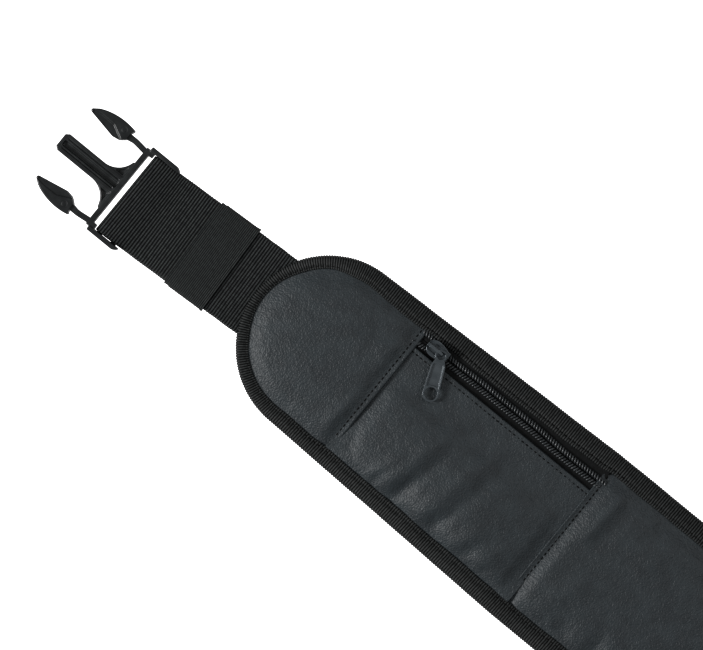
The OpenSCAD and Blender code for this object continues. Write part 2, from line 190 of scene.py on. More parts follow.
def new_material(name, colour, roughness, **shader):
    """A named material with a Principled shader, and its node tree."""
    made = bpy.data.materials.new(name)
    made.use_nodes = True
    tree = made.node_tree
    tree.nodes.clear()
    surface = add_node(tree, "ShaderNodeBsdfPrincipled", Base_Color=linear(colour), Roughness=roughness)
    for key, value in shader.items():
        surface.inputs[key.replace("_", " ")].default_value = value
    add_node(tree, "ShaderNodeOutputMaterial", links={"Surface": surface.outputs[0]})
    place = add_node(tree, "ShaderNodeTexCoord").outputs["Object"]
    return made, tree, surface, place


def maths(tree, operation, first, second):
    """One sum of two sockets or numbers."""
    made = add_node(tree, "ShaderNodeMath", {"operation": operation})
    for socket, value in zip(made.inputs, (first, second)):
        if hasattr(value, "node"):
            tree.links.new(value, socket)
        else:
            socket.default_value = value
    return made.outputs[0]


def per_mm(size):
    """The texture scale at which one cell of a pattern is that many millimetres."""
    return 1 / (size * MM)


def bump(tree, surface, height, strength, depth, below=None):
    """A bump of that depth in millimetres, on top of the one below."""
    made = add_node(tree, "ShaderNodeBump", Strength=strength, Distance=depth * MM, links={"Height": height})
    if below:
        tree.links.new(below.outputs[0], made.inputs["Normal"])
    tree.links.new(made.outputs[0], surface.inputs["Normal"])
    return made


def mottle(tree, surface, place, size, dark, light):
    """Slow colour changes between two colours."""
    cloud = add_node(tree, "ShaderNodeTexNoise", Scale=per_mm(size), Detail=4.0, links={"Vector": place})
    ramp = add_node(tree, "ShaderNodeValToRGB", links={"Fac": cloud.outputs["Fac"]})
    ramp.color_ramp.elements[0].position, ramp.color_ramp.elements[1].position = 0.35, 0.65
    ramp.color_ramp.elements[0].color, ramp.color_ramp.elements[1].color = linear(dark), linear(light)
    tree.links.new(ramp.outputs[0], surface.inputs["Base Color"])
    return cloud


# %% [markdown]
# Synthetic leather is polyurethane on cloth, embossed with a pebble grain and finished half
# matt, so its highlights are broad and broken up by the grain. The real pebbles are about half a
# millimetre across; they are drawn at 0.9 mm, and the dents between them at 1.5 mm, so that they
# still show from two metres away. A colour map could be painted instead, but it would have to be
# drawn for every panel, and a pattern from nodes fits them all.

# %% Leather
def make_leather():
    made, tree, surface, place = new_material("polyurethane_leather", "#1c2226", 0.5, Specular_IOR_Level=0.5)
    mottle(tree, surface, place, 9.0, "#192024", "#1f272b")
    warp = add_node(tree, "ShaderNodeTexNoise", Scale=per_mm(2.2), Detail=2.0, links={"Vector": place})
    shifted = add_node(tree, "ShaderNodeMixRGB", {"blend_type": "LINEAR_LIGHT"}, Fac=0.0010,
                       links={"Color1": place, "Color2": warp.outputs["Color"]})
    pebbles = add_node(tree, "ShaderNodeTexVoronoi", {"feature": "SMOOTH_F1"}, Scale=per_mm(0.9),
                       Smoothness=0.5, links={"Vector": shifted.outputs[0]})
    dents = add_node(tree, "ShaderNodeTexNoise", Scale=per_mm(1.5), Detail=3.0, Roughness=0.6,
                     links={"Vector": shifted.outputs[0]})
    first = bump(tree, surface, dents.outputs["Fac"], 0.8, 0.32)
    bump(tree, surface, pebbles.outputs["Distance"], 1.0, 0.25, first)
    shine = add_node(tree, "ShaderNodeMapRange", links={"Value": warp.outputs["Fac"]},
                     From_Min=0.3, From_Max=0.7, To_Min=0.5, To_Max=0.6)
    tree.links.new(shine.outputs[0], surface.inputs["Roughness"])
    return made


LEATHER = make_leather()
print("made", LEATHER.name)


# %% [markdown]
# The fabrics are black nylon and polyester, with hardly any shine, so the eye reads them by their
# ribs. The ribs themselves are modelled, and the material also paints shade into the valleys
# between them.
# Up close the threads cross about every 0.3 mm; the fine checks of bump that stand for them are
# drawn at about half a millimetre, because they would vanish at their real size.

# %% Fabrics
def shade_ribs(tree, surface, rib, bead):
    """Painted shade: darkens the valleys between ribs, and between beads if there are any, so the crests
    read as lit.
    """
    along = add_node(tree, "ShaderNodeAttribute", {"attribute_name": "along"}).outputs["Fac"]
    turns = maths(tree, "MULTIPLY", along, math.pi / (rib * MM))
    crest = maths(tree, "ABSOLUTE", maths(tree, "SINE", turns, 0), 0)
    shade = add_node(tree, "ShaderNodeMapRange", links={"Value": crest}, From_Min=0.5, From_Max=0.97,
                     To_Min=0.04, To_Max=1.0)
    cloud = surface.inputs["Base Color"].links[0].from_socket
    shade = shade.outputs[0]
    if bead:
        across = add_node(tree, "ShaderNodeAttribute", {"attribute_name": "across"}).outputs["Fac"]
        turns = maths(tree, "MULTIPLY", across, math.pi / (bead * MM))
        shade = maths(tree, "MULTIPLY", shade, maths(tree, "ADD", 0.5, maths(
            tree, "MULTIPLY", 0.5, maths(tree, "ABSOLUTE", maths(tree, "SINE", turns, 0), 0))))
    # painted shade: the rib and bead pattern multiplies the fabric's colour
    black = add_node(tree, "ShaderNodeMixRGB", {"blend_type": "MULTIPLY"}, Fac=1.0,
                     links={"Color1": cloud, "Color2": shade})
    tree.links.new(black.outputs[0], surface.inputs["Base Color"])


def make_fabric(name, dark, light, roughness, thread, depth, sheen=0.0, rib=0.0, bead=0.0):
    """A woven cloth: threads that far apart, and painted shade between ribs and beads of those pitches where
    it has any.
    """
    made, tree, surface, place = new_material(name, dark, roughness, Specular_IOR_Level=0.12)
    surface.inputs["Sheen Weight"].default_value = sheen
    surface.inputs["Sheen Roughness"].default_value = 0.5
    mottle(tree, surface, place, 1.6, dark, light)
    if rib:
        shade_ribs(tree, surface, rib, bead)
    first = None
    for turn in ("X", "Y"):
        threads = add_node(tree, "ShaderNodeTexWave", {"bands_direction": turn}, Scale=per_mm(thread) / 20,
                           Distortion=1.2, Detail=1.0, Detail_Scale=4.0, links={"Vector": place})
        first = bump(tree, surface, threads.outputs["Fac"], 0.5, depth, first)
    fuzz = add_node(tree, "ShaderNodeTexNoise", Scale=per_mm(0.5), Detail=2.0, links={"Vector": place})
    bump(tree, surface, fuzz.outputs["Fac"], 0.35, depth, first)
    return made


# the rib pitches also set the painted shade in the fabrics' rib valleys, and the bead pitch sets it between
# the webbing's beads
RIB_PITCH = 1.4          # the binding's ribs, in millimetres
WEB_PITCH = 1.55         # the webbing's ribs
BEAD_PITCH = 1.15        # the beads that the warp makes along each rib of the webbing
KNIT_PITCH = 1.05        # the elastic's ribs
# polyester grosgrain: close ribs with a dull satin crest
BINDING = make_fabric("grosgrain_binding", "#1e2020", "#303232", 0.5, 0.5, 0.06, rib=RIB_PITCH)
# nylon webbing: filament yarn, so the top of every bead catches a little light, painted into its colour with
# shade between the beads
WEBBING = make_fabric("nylon_webbing", "#252728", "#363939", 0.4, 0.6, 0.08, rib=WEB_PITCH, bead=BEAD_PITCH)
# knitted elastic: covered rubber, finer and a little greyer than the webbing
ELASTIC = make_fabric("knitted_elastic", "#232626", "#323535", 0.5, 0.45, 0.06, rib=KNIT_PITCH)
# zip tape: the deepest black, matt
TAPE = make_fabric("woven_zip_tape", "#0a0b0b", "#101112", 0.75, 0.5, 0.05)
# backing and bag: open mesh, soft to the skin, with a faint bloom
LINING = make_fabric("air_mesh_backing", "#141516", "#1c1d1e", 0.85, 1.2, 0.15, sheen=0.08)
# bonded thread: glued filament, darker than anything it holds
THREAD = make_fabric("bonded_nylon_thread", "#020202", "#040404", 0.7, 0.2, 0.03)
# shot sleeve: olive ripstop
SLEEVE = make_fabric("ripstop_sleeve", "#34382a", "#3d4232", 0.7, 0.8, 0.05, sheen=0.05)
print("fabrics:", ", ".join(m.name for m in (BINDING, WEBBING, ELASTIC, TAPE, LINING, THREAD, SLEEVE)))


# %% [markdown]
# The buckle is acetal, moulded against a lightly spark-eroded tool: a dark satin grey-black
# that catches soft light along its rounded edges. The zip's coil is a polyester filament with the
# gloss of fishing line. Its slider and pull are zinc castings under a coat of gunmetal paint,
# which is half paint and half metal flake, so it is made a little metallic. The grain of the
# tool and of the paint is drawn about three times its real size.

# %% Plastics and metals
def make_moulded(name, dark, light, roughness, metal=0.0, grain=0.35, depth=0.02):
    """A hard surface: slow clouds in its colour and shine, and a fine grain in millimetres."""
    made, tree, surface, place = new_material(name, dark, roughness, Metallic=metal)
    cloud = mottle(tree, surface, place, 5.0, dark, light)
    texture = add_node(tree, "ShaderNodeTexNoise", Scale=per_mm(grain), Detail=2.0, links={"Vector": place})
    bump(tree, surface, texture.outputs["Fac"], 0.4, depth)
    shine = add_node(tree, "ShaderNodeMapRange", links={"Value": cloud.outputs["Fac"]}, From_Min=0.3,
                     From_Max=0.7, To_Min=roughness - 0.05, To_Max=roughness + 0.06)
    tree.links.new(shine.outputs[0], surface.inputs["Roughness"])
    return made


ACETAL = make_moulded("moulded_acetal", "#121415", "#181b1c", 0.34)
COIL = make_moulded("polyester_coil", "#282b2d", "#333638", 0.26, grain=0.3)
PAINTED_ZINC = make_moulded("painted_zinc", "#40464a", "#4b5155", 0.26, metal=0.45, grain=0.25, depth=0.01)
# lead shot: dull grey grains of 2.2 mm, half oxidised
LEAD = make_moulded("lead_shot_pack", "#5d6063", "#6c6f72", 0.6, metal=0.5, grain=2.2, depth=0.5)
# closed cell foam: a chalky cut face
FOAM = make_moulded("cellular_foam", "#1c1d1e", "#252627", 0.9, grain=0.8, depth=0.2)
print("moulded and cast:", ", ".join(m.name for m in (ACETAL, COIL, PAINTED_ZINC, LEAD, FOAM)))


# %% [markdown]
# ## What repeats: ribs, stitches and zip teeth
# Two small Geometry Nodes trees do the patient work. The first raises ribs on any strip that
# knows its distance along the path. The second sets a stitch at every step of a seam line, and,
# with other sizes, a coil tooth at every step of the zip. Modelling each one by hand would give
# the same look, but a change of pitch would mean starting again.

# %% Geometry Nodes helpers
def new_tree(name, inputs):
    """An empty tree with a geometry input and output, and named inputs for its sizes."""
    tree = bpy.data.node_groups.new(name, "GeometryNodeTree")
    tree.interface.new_socket("Geometry", in_out="INPUT", socket_type="NodeSocketGeometry")
    for key, kind in inputs.items():
        tree.interface.new_socket(key, in_out="INPUT", socket_type=kind)
    tree.interface.new_socket("Geometry", in_out="OUTPUT", socket_type="NodeSocketGeometry")
    return tree, tree.nodes.new("NodeGroupInput")


def end_tree(tree, source, geometry):
    """Ends the tree: everything made real, and given its material."""
    real = add_node(tree, "GeometryNodeRealizeInstances", links={"Geometry": geometry})
    dressed = add_node(tree, "GeometryNodeSetMaterial",
                       links={"Geometry": real.outputs[0], "Material": source.outputs["Material"]})
    add_node(tree, "NodeGroupOutput", links={"Geometry": dressed.outputs[0]})


def run_tree(thing, tree, **values):
    """Runs a tree on an object and keeps the result as a plain mesh."""
    modifier = thing.modifiers.new(tree.name, "NODES")
    modifier.node_group = tree
    for item in tree.interface.items_tree:
        if item.item_type == "SOCKET" and item.in_out == "INPUT" and item.name in values:
            modifier[item.identifier] = values[item.name]
    return plain_mesh(thing)


# %% [markdown]
# A rib is a wave in the distance along the strip, so the tree moves every point along its normal
# by that wave. Nothing is added to the mesh, which only has to be fine enough beforehand. The
# wave's middle is taken off, so that the strip keeps its thickness.

# %% Ribs
RIB_MIDDLE = 0.64       # the mean height of the wave


def make_rib_tree():
    tree, source = new_tree("ribs", {"Pitch": "NodeSocketFloat", "Height": "NodeSocketFloat",
                                     "Material": "NodeSocketMaterial"})
    along = add_node(tree, "GeometryNodeInputNamedAttribute", {"data_type": "FLOAT"}, Name="along")
    normal = add_node(tree, "GeometryNodeInputNormal")
    turns = maths(tree, "DIVIDE", along.outputs["Attribute"], source.outputs["Pitch"])
    wave = maths(tree, "ABSOLUTE", maths(tree, "SINE", maths(tree, "MULTIPLY", turns, math.pi), 0), 0)
    lift = maths(tree, "MULTIPLY", maths(tree, "SUBTRACT", wave, RIB_MIDDLE), source.outputs["Height"])
    strength = add_node(tree, "GeometryNodeInputNamedAttribute", {"data_type": "FLOAT"}, Name="rib")
    offset = add_node(tree, "ShaderNodeVectorMath", {"operation": "SCALE"},
                      links={0: normal.outputs[0],
                             "Scale": maths(tree, "MULTIPLY", lift, strength.outputs["Attribute"])})
    moved = add_node(tree, "GeometryNodeSetPosition",
                     links={"Geometry": source.outputs["Geometry"], "Offset": offset.outputs[0]})
    end_tree(tree, source, moved.outputs[0])
    return tree


RIBS = make_rib_tree()


def raise_ribs(thing, along, strength, pitch, height, material, across=0.0):
    """Ribs across a strip: along is each point's distance along it, strength fades them out."""
    across = np.broadcast_to(np.asarray(across, float) * MM, np.shape(along))
    for name, values in (("along", np.asarray(along) * MM), ("rib", strength), ("across", across)):
        layer = thing.data.attributes.new(name, "FLOAT", "POINT")
        layer.data.foreach_set("value", np.asarray(values, np.float32).ravel())
    run_tree(thing, RIBS, Pitch=pitch * MM, Height=height * MM, Material=material)
    thing.data.polygons.foreach_set("use_smooth", [True] * len(thing.data.polygons))
    print(f"{thing.name}: ribs every {pitch} mm, {len(thing.data.polygons)} faces")
    return thing


# %% [markdown]
# A stitch, seen from above, is a grain of thread that dives into the leather at both ends. A
# stretched ball of 48 faces is enough, since a belt has over a thousand of them.

# %% Stitches
STITCH_PITCH = 2.85
STITCH_LENGTH = 2.1
BALL_SEGMENTS, BALL_RINGS = 8, 6


def make_stitch_tree():
    tree, source = new_tree("stitches", {"Pitch": "NodeSocketFloat", "Length": "NodeSocketFloat",
                                         "Width": "NodeSocketFloat", "Height": "NodeSocketFloat",
                                         "Slant": "NodeSocketFloat", "Material": "NodeSocketMaterial"})
    line = add_node(tree, "GeometryNodeMeshToCurve", links={"Mesh": source.outputs["Geometry"]})
    steps = add_node(tree, "GeometryNodeResampleCurve", {"mode": "LENGTH"},
                     links={"Curve": line.outputs[0], "Length": source.outputs["Pitch"]})
    tangent = add_node(tree, "GeometryNodeInputTangent")
    turn = add_node(tree, "FunctionNodeAlignRotationToVector", {"axis": "X"},
                    links={"Vector": tangent.outputs[0]})
    grain = add_node(tree, "GeometryNodeMeshUVSphere", Segments=BALL_SEGMENTS, Rings=BALL_RINGS,
                     Radius=0.5)
    size = add_node(tree, "ShaderNodeCombineXYZ", links={"X": source.outputs["Length"],
                    "Y": source.outputs["Width"], "Z": source.outputs["Height"]})
    lean = add_node(tree, "ShaderNodeCombineXYZ", links={"Z": source.outputs["Slant"]})
    shaped = add_node(tree, "GeometryNodeTransform", links={
        "Geometry": grain.outputs["Mesh"], "Scale": size.outputs[0], "Rotation": lean.outputs[0]})
    round_shaded = add_node(tree, "GeometryNodeSetShadeSmooth", links={"Geometry": shaped.outputs[0]})
    placed = add_node(tree, "GeometryNodeInstanceOnPoints",
                      links={"Points": steps.outputs[0], "Instance": round_shaded.outputs[0],
                             "Rotation": turn.outputs[0]})
    end_tree(tree, source, placed.outputs[0])
    return tree


STITCHES = make_stitch_tree()


def sew(name, line, side, pitch=STITCH_PITCH, length=STITCH_LENGTH, width=0.8, height=0.5,
        material=THREAD, slant=0):
    """Stitches, or teeth, along a line of points in millimetres."""
    thing = make_object(name, line, [], side)
    edges = [(i, i + 1) for i in range(len(line) - 1)]
    mesh = bpy.data.meshes.new(name)
    mesh.from_pydata([v.co[:] for v in thing.data.vertices], edges, [])
    thing.data = mesh
    run_tree(thing, STITCHES, Pitch=pitch * MM, Length=length * MM, Width=width * MM,
             Height=height * MM, Slant=math.radians(slant), Material=material)
    print(f"{name}: {len(thing.data.polygons) // (BALL_SEGMENTS * BALL_RINGS)} repeats")
    return thing


# %% [markdown]
# ## The pad's shape
# The outline is straight at the middle, tapers a little over the pockets and ends in a half
# circle. Everything on the pad is placed by its distance in from that outline.

# %% Outline
def half_width(x):
    """Half the pad's width at a distance x along the belt."""
    x = np.abs(x)
    slope = np.clip((x - POCKET_SEAM) / (TAPER_START - POCKET_SEAM), 0, 1)
    straight = HALF_WIDTH - (HALF_WIDTH - TIP_RADIUS) * slope
    tip = np.sqrt(np.clip(TIP_RADIUS ** 2 - (x - TAPER_START) ** 2, 0, None))
    return np.where(x > TAPER_START, tip, straight)


def inset(x, y):
    """How far a point lies in from the outline."""
    x = np.abs(x)
    beside = half_width(x) - np.abs(y)
    round_tip = TIP_RADIUS - np.hypot(x - TAPER_START, y)
    return np.where(x > TAPER_START, round_tip, beside)


def binding_width(x):
    """The binding's visible width: narrow round the tip, wide along the straight edges."""
    return np.interp(np.abs(x), [0, POCKET_SEAM, END_SEAM, TAPER_START, TIP - 8, TIP],
                     [10.9, 10.7, 9.1, 8.2, 6.6, 5.6])


def seam_dip(x, seam, depth, width):
    """The stitched seam pulls the padding down along its line."""
    return -depth * np.exp(-((np.abs(x) - seam) / width) ** 2)


# %% [markdown]
# Leather that is filled and folded keeps creases where the filling pushes it. They are listed one by
# one, as a maker would press them: where each starts and ends, its width and its height. A
# negative height is a valley. The cloth simulation then adds the small ones.

# %% Creases
CREASES = [
    ((-271, 18), (-250, 35), 5.5, -0.8), ((-262, 16), (-248, 26), 5.0, 0.5),
    ((-290, -14), (-262, -4), 9.0, 0.35), ((-258, -30), (-250, -8), 5.0, 0.5),
    ((-214, -38), (-203, 8), 4.5, 0.9), ((-206, -40), (-197, -6), 3.6, -0.9),
    ((-224, -40), (-216, -20), 3.2, 0.7), ((-190, -40), (-176, 18), 5.0, 1.0),
    ((-179, -40), (-170, 2), 4.2, -0.7), ((-166, -40), (-158, -22), 4.0, 0.6),
    ((-203, 8), (-201, 24), 5.0, 0.4), ((-150, -40), (-141, -20), 4.5, 0.5),
    ((-114, 8), (-112, 38), 3.4, 1.1), ((-106, 10), (-104, 36), 4.0, -0.6),
    ((-112, -38), (-98, -8), 6.0, 0.5), ((-84, 14), (-70, 34), 8.0, 0.5),
]


def crease_height(x, y):
    """The sum of the listed creases at a point."""
    total = np.zeros(np.broadcast(x, y).shape)
    for (x0, y0), (x1, y1), width, height in CREASES:
        along = np.array([x1 - x0, y1 - y0], float)
        reach = np.hypot(*along)
        along /= reach
        t = ((x - x0) * along[0] + (y - y0) * along[1]) / reach
        off = (x - x0) * -along[1] + (y - y0) * along[0]
        fade = smooth_step((t + 0.25) / 0.45) * smooth_step((1.25 - t) / 0.45)
        total += height * fade * np.exp(-(off / width) ** 2)
    return total


# %% [markdown]
# Each panel's height is a function of place: it rises from the binding to its crown, dips beside
# the seam, and takes its creases. Every later piece asks the same functions how high it lies.

# %% Heights of the panels
RIM_HEIGHT = 5.2
END_CROWN, POCKET_CROWN, CENTRE_CROWN = 8.9, 10.4, 9.0
SEAM_INSET = 2.3        # from a folded edge to its row of stitches
RISE_REACH = 34         # how far in from the binding the padding reaches its crown


def rise(x, y, reach):
    """0 at the binding and 1 where the padding is full."""
    t = np.clip((inset(x, y) - binding_width(x) + 1.5) / reach, 0, 1)
    return 1 - (1 - t) ** 2.4


def end_top(x, y):
    """Height of the end panel."""
    base = RIM_HEIGHT + (END_CROWN - RIM_HEIGHT) * rise(x, y, RISE_REACH)
    return base + seam_dip(x, END_SEAM + SEAM_INSET, 0.8, 3.5) + crease_height(x, y)


def centre_top(x, y):
    """Height of the centre panel."""
    base = RIM_HEIGHT + (CENTRE_CROWN - RIM_HEIGHT) * rise(x, y, RISE_REACH)
    return base + seam_dip(x, POCKET_SEAM - SEAM_INSET, 1.6, 3.8) + crease_height(x, y)


def pocket_top(x, y):
    """Height of the pocket panel: full below, low under the pull, tucked under at the seams."""
    low_side = RIM_HEIGHT + (POCKET_CROWN - RIM_HEIGHT) * rise(x, np.minimum(y, 0), 22)
    flat = TAPE_TOP + 2.0
    base = low_side + (flat - low_side) * smooth_step((y + 12) / 30)
    ax = np.abs(x)
    t = np.clip(np.minimum(END_SEAM - ax, ax - POCKET_SEAM) / 40, 0, 1)
    tucked = np.minimum(base, 6.6)
    base = tucked + (base - tucked) * (1 - (1 - t) ** 1.7)
    return base + crease_height(x, y) * smooth_step((HEM_Y - 6 - y) / 8) * smooth_step(t * 6)


# %% [markdown]
# ## Padding by cloth simulation
# A cover is cut slightly larger than the space it fills. Held along its seams and pushed up by
# the foam, the spare cloth gathers into soft puckers. That is what Blender's Cloth does here:
# the panel is pinned at its edges, grows a few per cent and is pressed from below. The result is
# taken as heights only and capped, so that the panel stays in the space it has.

# %% Puff
SIM_SCALE = 0.01        # metres in the simulation for each millimetre, ten times life size
SIM_FRAMES = 22
PUFF_CAP = 1.1


def puff(points, pinned, grow, pressure):
    """Lets a grid of points puff up with cloth, and gives the capped change of place."""
    rows, columns = points.shape[:2]
    mesh = bpy.data.meshes.new("puff")
    mesh.from_pydata((points.reshape(-1, 3) * SIM_SCALE).tolist(), [], grid_faces(rows, columns))
    thing = bpy.data.objects.new("puff", mesh)
    bpy.context.scene.collection.objects.link(thing)
    held = thing.vertex_groups.new(name="held")
    held.add([int(i) for i in np.flatnonzero(pinned)], 1.0, "REPLACE")
    cloth = thing.modifiers.new("cloth", "CLOTH")
    cloth.settings.vertex_group_mass = "held"
    cloth.settings.quality = 6
    cloth.settings.mass = 0.4
    cloth.settings.tension_stiffness = cloth.settings.compression_stiffness = 25
    cloth.settings.shear_stiffness = 15
    cloth.settings.bending_stiffness = 1.5
    cloth.settings.air_damping = 3
    cloth.settings.shrink_min = -grow
    cloth.settings.use_pressure = True
    cloth.settings.uniform_pressure_force = pressure
    cloth.settings.effector_weights.gravity = 0
    cloth.point_cache.frame_start, cloth.point_cache.frame_end = 1, SIM_FRAMES
    for step in range(1, SIM_FRAMES + 1):
        bpy.context.scene.frame_set(step)
    graph = bpy.context.evaluated_depsgraph_get()
    result = thing.evaluated_get(graph).data
    moved = np.array([v.co[:] for v in result.vertices]) / SIM_SCALE
    bpy.data.objects.remove(thing)
    bpy.context.scene.frame_set(1)
    change = moved.reshape(points.shape) - points
    change[..., :2] = 0
    change = PUFF_CAP * np.tanh(change / PUFF_CAP)
    print(f"puffed {rows}x{columns} points, up to {change[..., 2].max():.2f} mm, "
          f"down to {change[..., 2].min():.2f} mm")
    return change


def refine(values, times):
    """More rows and columns between those of a grid, on smooth cubic curves."""
    for axis in (0, 1):
        values = np.moveaxis(values, axis, 0)
        n = len(values)
        t = np.linspace(0, n - 1, (n - 1) * times + 1)
        i = np.clip(t.astype(int), 0, n - 2)
        f = (t - i).reshape(-1, *[1] * (values.ndim - 1))
        p = [values[np.clip(i + k, 0, n - 1)] for k in (-1, 0, 1, 2)]
        values = 0.5 * (2 * p[1] + (p[2] - p[0]) * f + (2 * p[0] - 5 * p[1] + 4 * p[2] - p[3]) * f ** 2
                        + (3 * p[1] - p[0] - 3 * p[2] + p[3]) * f ** 3)
        values = np.moveaxis(values, 0, axis)
    return values


# %% [markdown]
# ## Soft pieces
# Each leather panel is a shell one millimetre thick, each foam is a closed pad under it, and the
# backing is cloth. All of them are two grids of points, one above the other, joined round their
# rim. Where a panel's edge is folded and topstitched, the rim rolls round and under.
# The pad bends at its seams, so each piece is cut to cross one seam at most: the outer pieces lie
# by the end seam and the inner ones by the pocket seam. Pieces cut from one grid keep its normals,
# so that the cuts don't show.


def bend_pad(thing):
    """Bakes a pad piece's place into its mesh."""
    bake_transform(thing)


# %% Two grids and a rim
ROLLED_LIP = ((0.5, 0.25), (0.75, 0.8), (0.55, 1.4), (-0.4, 1.75))      # (out, down) of each ring
PLAIN_SHARE = 0.4       # how much of that drop an edge has that isn't rolled


def rim_of(rows, columns):
    """The grid's outer points in order, each with the name of its edge."""
    return ([(0, c, "low_x") for c in range(columns)] + [(r, columns - 1, "high_y") for r in range(1, rows)]
            + [(rows - 1, c, "high_x") for c in range(columns - 2, -1, -1)]
            + [(r, 0, "low_y") for r in range(rows - 2, 0, -1)])


OUTWARD = {"low_x": (-1, 0, 0), "high_x": (1, 0, 0), "low_y": (0, -1, 0), "high_y": (0, 1, 0)}


def slab(name, top, bottom, side, material, rolled=(), whole=None):
    """A closed piece between two grids. whole is (normals of the full sheet, first row)."""
    rows, columns = top.shape[:2]
    rim = rim_of(rows, columns)
    edge = np.array([top[r, c] for r, c, _ in rim])
    last = [r * columns + c for r, c, _ in rim]
    points, faces, start, n = [top.reshape(-1, 3)], grid_faces(rows, columns), rows * columns, len(rim)
    for out, down in ROLLED_LIP if rolled else ():
        ring = edge.copy()
        for i, (_, _, where) in enumerate(rim):
            ring[i, 2] -= down * (1 if where in rolled else PLAIN_SHARE)
            if where in rolled:
                ring[i] += np.array(OUTWARD[where]) * out
        points.append(ring)
        faces += [[last[i - 1], start + (i - 1) % n, start + i, last[i]] for i in range(n)]
        last, start = list(range(start, start + n)), start + n
    faces += [[last[i - 1], start + rim[i - 1][0] * columns + rim[i - 1][1],
               start + rim[i][0] * columns + rim[i][1], last[i]] for i in range(n)]
    points.append(bottom.reshape(-1, 3))
    faces += [f[::-1] for f in grid_faces(rows, columns, start=start)]
    thing = make_object(name, np.concatenate(points), faces, side)
    point_outwards(thing)
    thing.data.materials.append(material)
    if whole is not None:
        keep_normals(thing, whole[0][whole[1]:whole[1] + rows].reshape(-1, 3), side)
    return thing


def grid_normals(grid):
    """Upward normals of a whole grid."""
    normals = np.cross(np.gradient(grid, axis=0), np.gradient(grid, axis=1))
    length = np.linalg.norm(normals, axis=-1, keepdims=True)
    return normals / np.where(length == 0, 1, length)


def keep_normals(thing, normals, side):
    """Sets the first vertices' normals, and leaves the others as they are."""
    count = len(thing.data.vertices)
    own = np.empty(count * 3, np.float32)
    thing.data.vertices.foreach_get("normal", own)
    own = own.reshape(-1, 3)
    own[:len(normals)] = normals * (-1 if side == "right" else 1, 1, 1)
    thing.data.normals_split_custom_set_from_vertices(own.tolist())


# %% Panel grids
FABRIC = 1.0            # leather with its cloth back
TUCK = 3.2              # how far the panels go on under the binding


def under_binding(x):
    """Where the leather ends, under the binding."""
    return np.maximum(half_width(x) - np.maximum(binding_width(x) - TUCK, 2.0), 0.4)


def panel_grid(x, across, low, high, height):
    """Points over a panel, with its height from a function of x and y."""
    y = low(x)[:, None] + (high(x) - low(x))[:, None] * np.linspace(0, 1, across)
    xx = np.repeat(x[:, None], across, axis=1)
    return np.stack([xx, y, height(xx, y)], axis=-1)


def soft_panel(x, across, low, high, height, times, seed, grow, pressure):
    """A panel's top after the cloth has puffed it, on a finer grid."""
    start = panel_grid(x, across, low, high, height)
    pinned = np.zeros(start.shape[:2], bool)
    pinned[[0, -1], :] = pinned[:, [0, -1]] = True
    start[..., 2] += 0.15 * wobble(start[..., 0], start[..., 1], 9.0, seed) * ~pinned
    change = refine(puff(start, pinned, grow, pressure), times)
    fine_x = refine(np.repeat(x[:, None], 2, axis=1), times)[:, 0]
    fine = panel_grid(fine_x, (across - 1) * times + 1, low, high, height)
    xx, yy = fine[..., 0], fine[..., 1]
    calm = 1 - 0.8 * smooth_step((yy - 2) / 8) * (np.abs(xx) < END_SEAM) * (np.abs(xx) > POCKET_SEAM)
    calm = calm * smooth_step((inset(xx, yy) - binding_width(xx)) / 8)
    for seam in (END_SEAM, POCKET_SEAM):
        calm = calm * smooth_step((np.abs(np.abs(xx) - seam) - 2.5) / 7)
    fine[..., 2] += change[..., 2] * calm
    fine[..., 2] += 0.06 * wobble(fine[..., 0], fine[..., 1], 3.5, seed + 3)
    return fine


def lowered(grid, by):
    down = grid.copy()
    down[..., 2] -= by
    return down


def leather_sheet(name, grid, side, rolled=(), whole=None, nodes=()):
    """One leather panel: made, with the nodes it stands for hidden, and its place baked in."""
    thing = slab(name, grid, lowered(grid, FABRIC), side, LEATHER, rolled, whole)
    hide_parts(*nodes)
    bend_pad(thing)
    return thing


# %% [markdown]
# Foam and backing go first, because the leather rests on them. The foam is cut a little smaller
# than the space under the leather, and under the zip it is only a thin layer, which leaves room
# for the slider when the pad is bent. The backing is one flat cloth.

# %% Foam and backing
# name: (outer x, inner x, group, leather's height, foam's underside, foam's top)
PARTS = {
    "end": (TIP - 2.6, END_SEAM + 0.2, "outer", end_top, 2.2, 9.0),
    "pocket_outer": (END_SEAM - 0.4, POCKET_MIDDLE, "outer", None, 2.0, 2.6),
    "pocket_inner": (POCKET_MIDDLE, POCKET_SEAM + 0.4, "inner", None, 2.0, 2.6),
    "centre": (POCKET_SEAM - 0.2, 0, "inner", centre_top, 2.2, 9.0),
}


def node_of(side, part, what):
    """The name of the rigid node that a soft part stands for, if it is the first to do so."""
    if part == "centre":
        return [f"centre_{what}"] if side == "left" else []
    if part == "pocket_inner":
        return []
    return [f"{side}_{part.replace('_outer', '')}_{what}"]


FOAM_GAP = 0.5           # between the foam and the leather's back
BACKING_TOP, BACKING_THICK = 1.7, 1.3

for side in SIDES:
    for part, (outer, inner, group, leather_top, low, high) in PARTS.items():
        x = -np.linspace(outer, inner, 25)
        edge = lambda x: np.maximum(under_binding(x) - 1.5, 0.3)
        under_leather = lambda x, y: leather_top(x, y) - FABRIC - FOAM_GAP
        height = under_leather if leather_top else lambda x, y: high + 0 * x
        top = panel_grid(x, 25, lambda x: -edge(x), edge, height)
        under = top.copy()
        under[..., 2] = low
        foam = slab(f"{side}_{part}_foam_layer", top, under, side, FOAM)
        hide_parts(*node_of(side, part, "foam"))
        bend_pad(foam)
        x = -np.linspace(TIP - 0.6 if part == "end" else outer, inner if part != "end" else END_SEAM, 40)
        edge = lambda x: np.maximum(half_width(x) - 0.6, 0.3)
        cloth = panel_grid(x, 30, lambda x: -edge(x), edge, lambda x, y: BACKING_TOP + 0 * x)
        backing = slab(f"{side}_{part}_back_cloth", cloth, lowered(cloth, BACKING_THICK), side, LINING)
        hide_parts(*node_of(side, part, "backing"))
        bend_pad(backing)
print("foam and backing pieces:", 4 * len(PARTS))

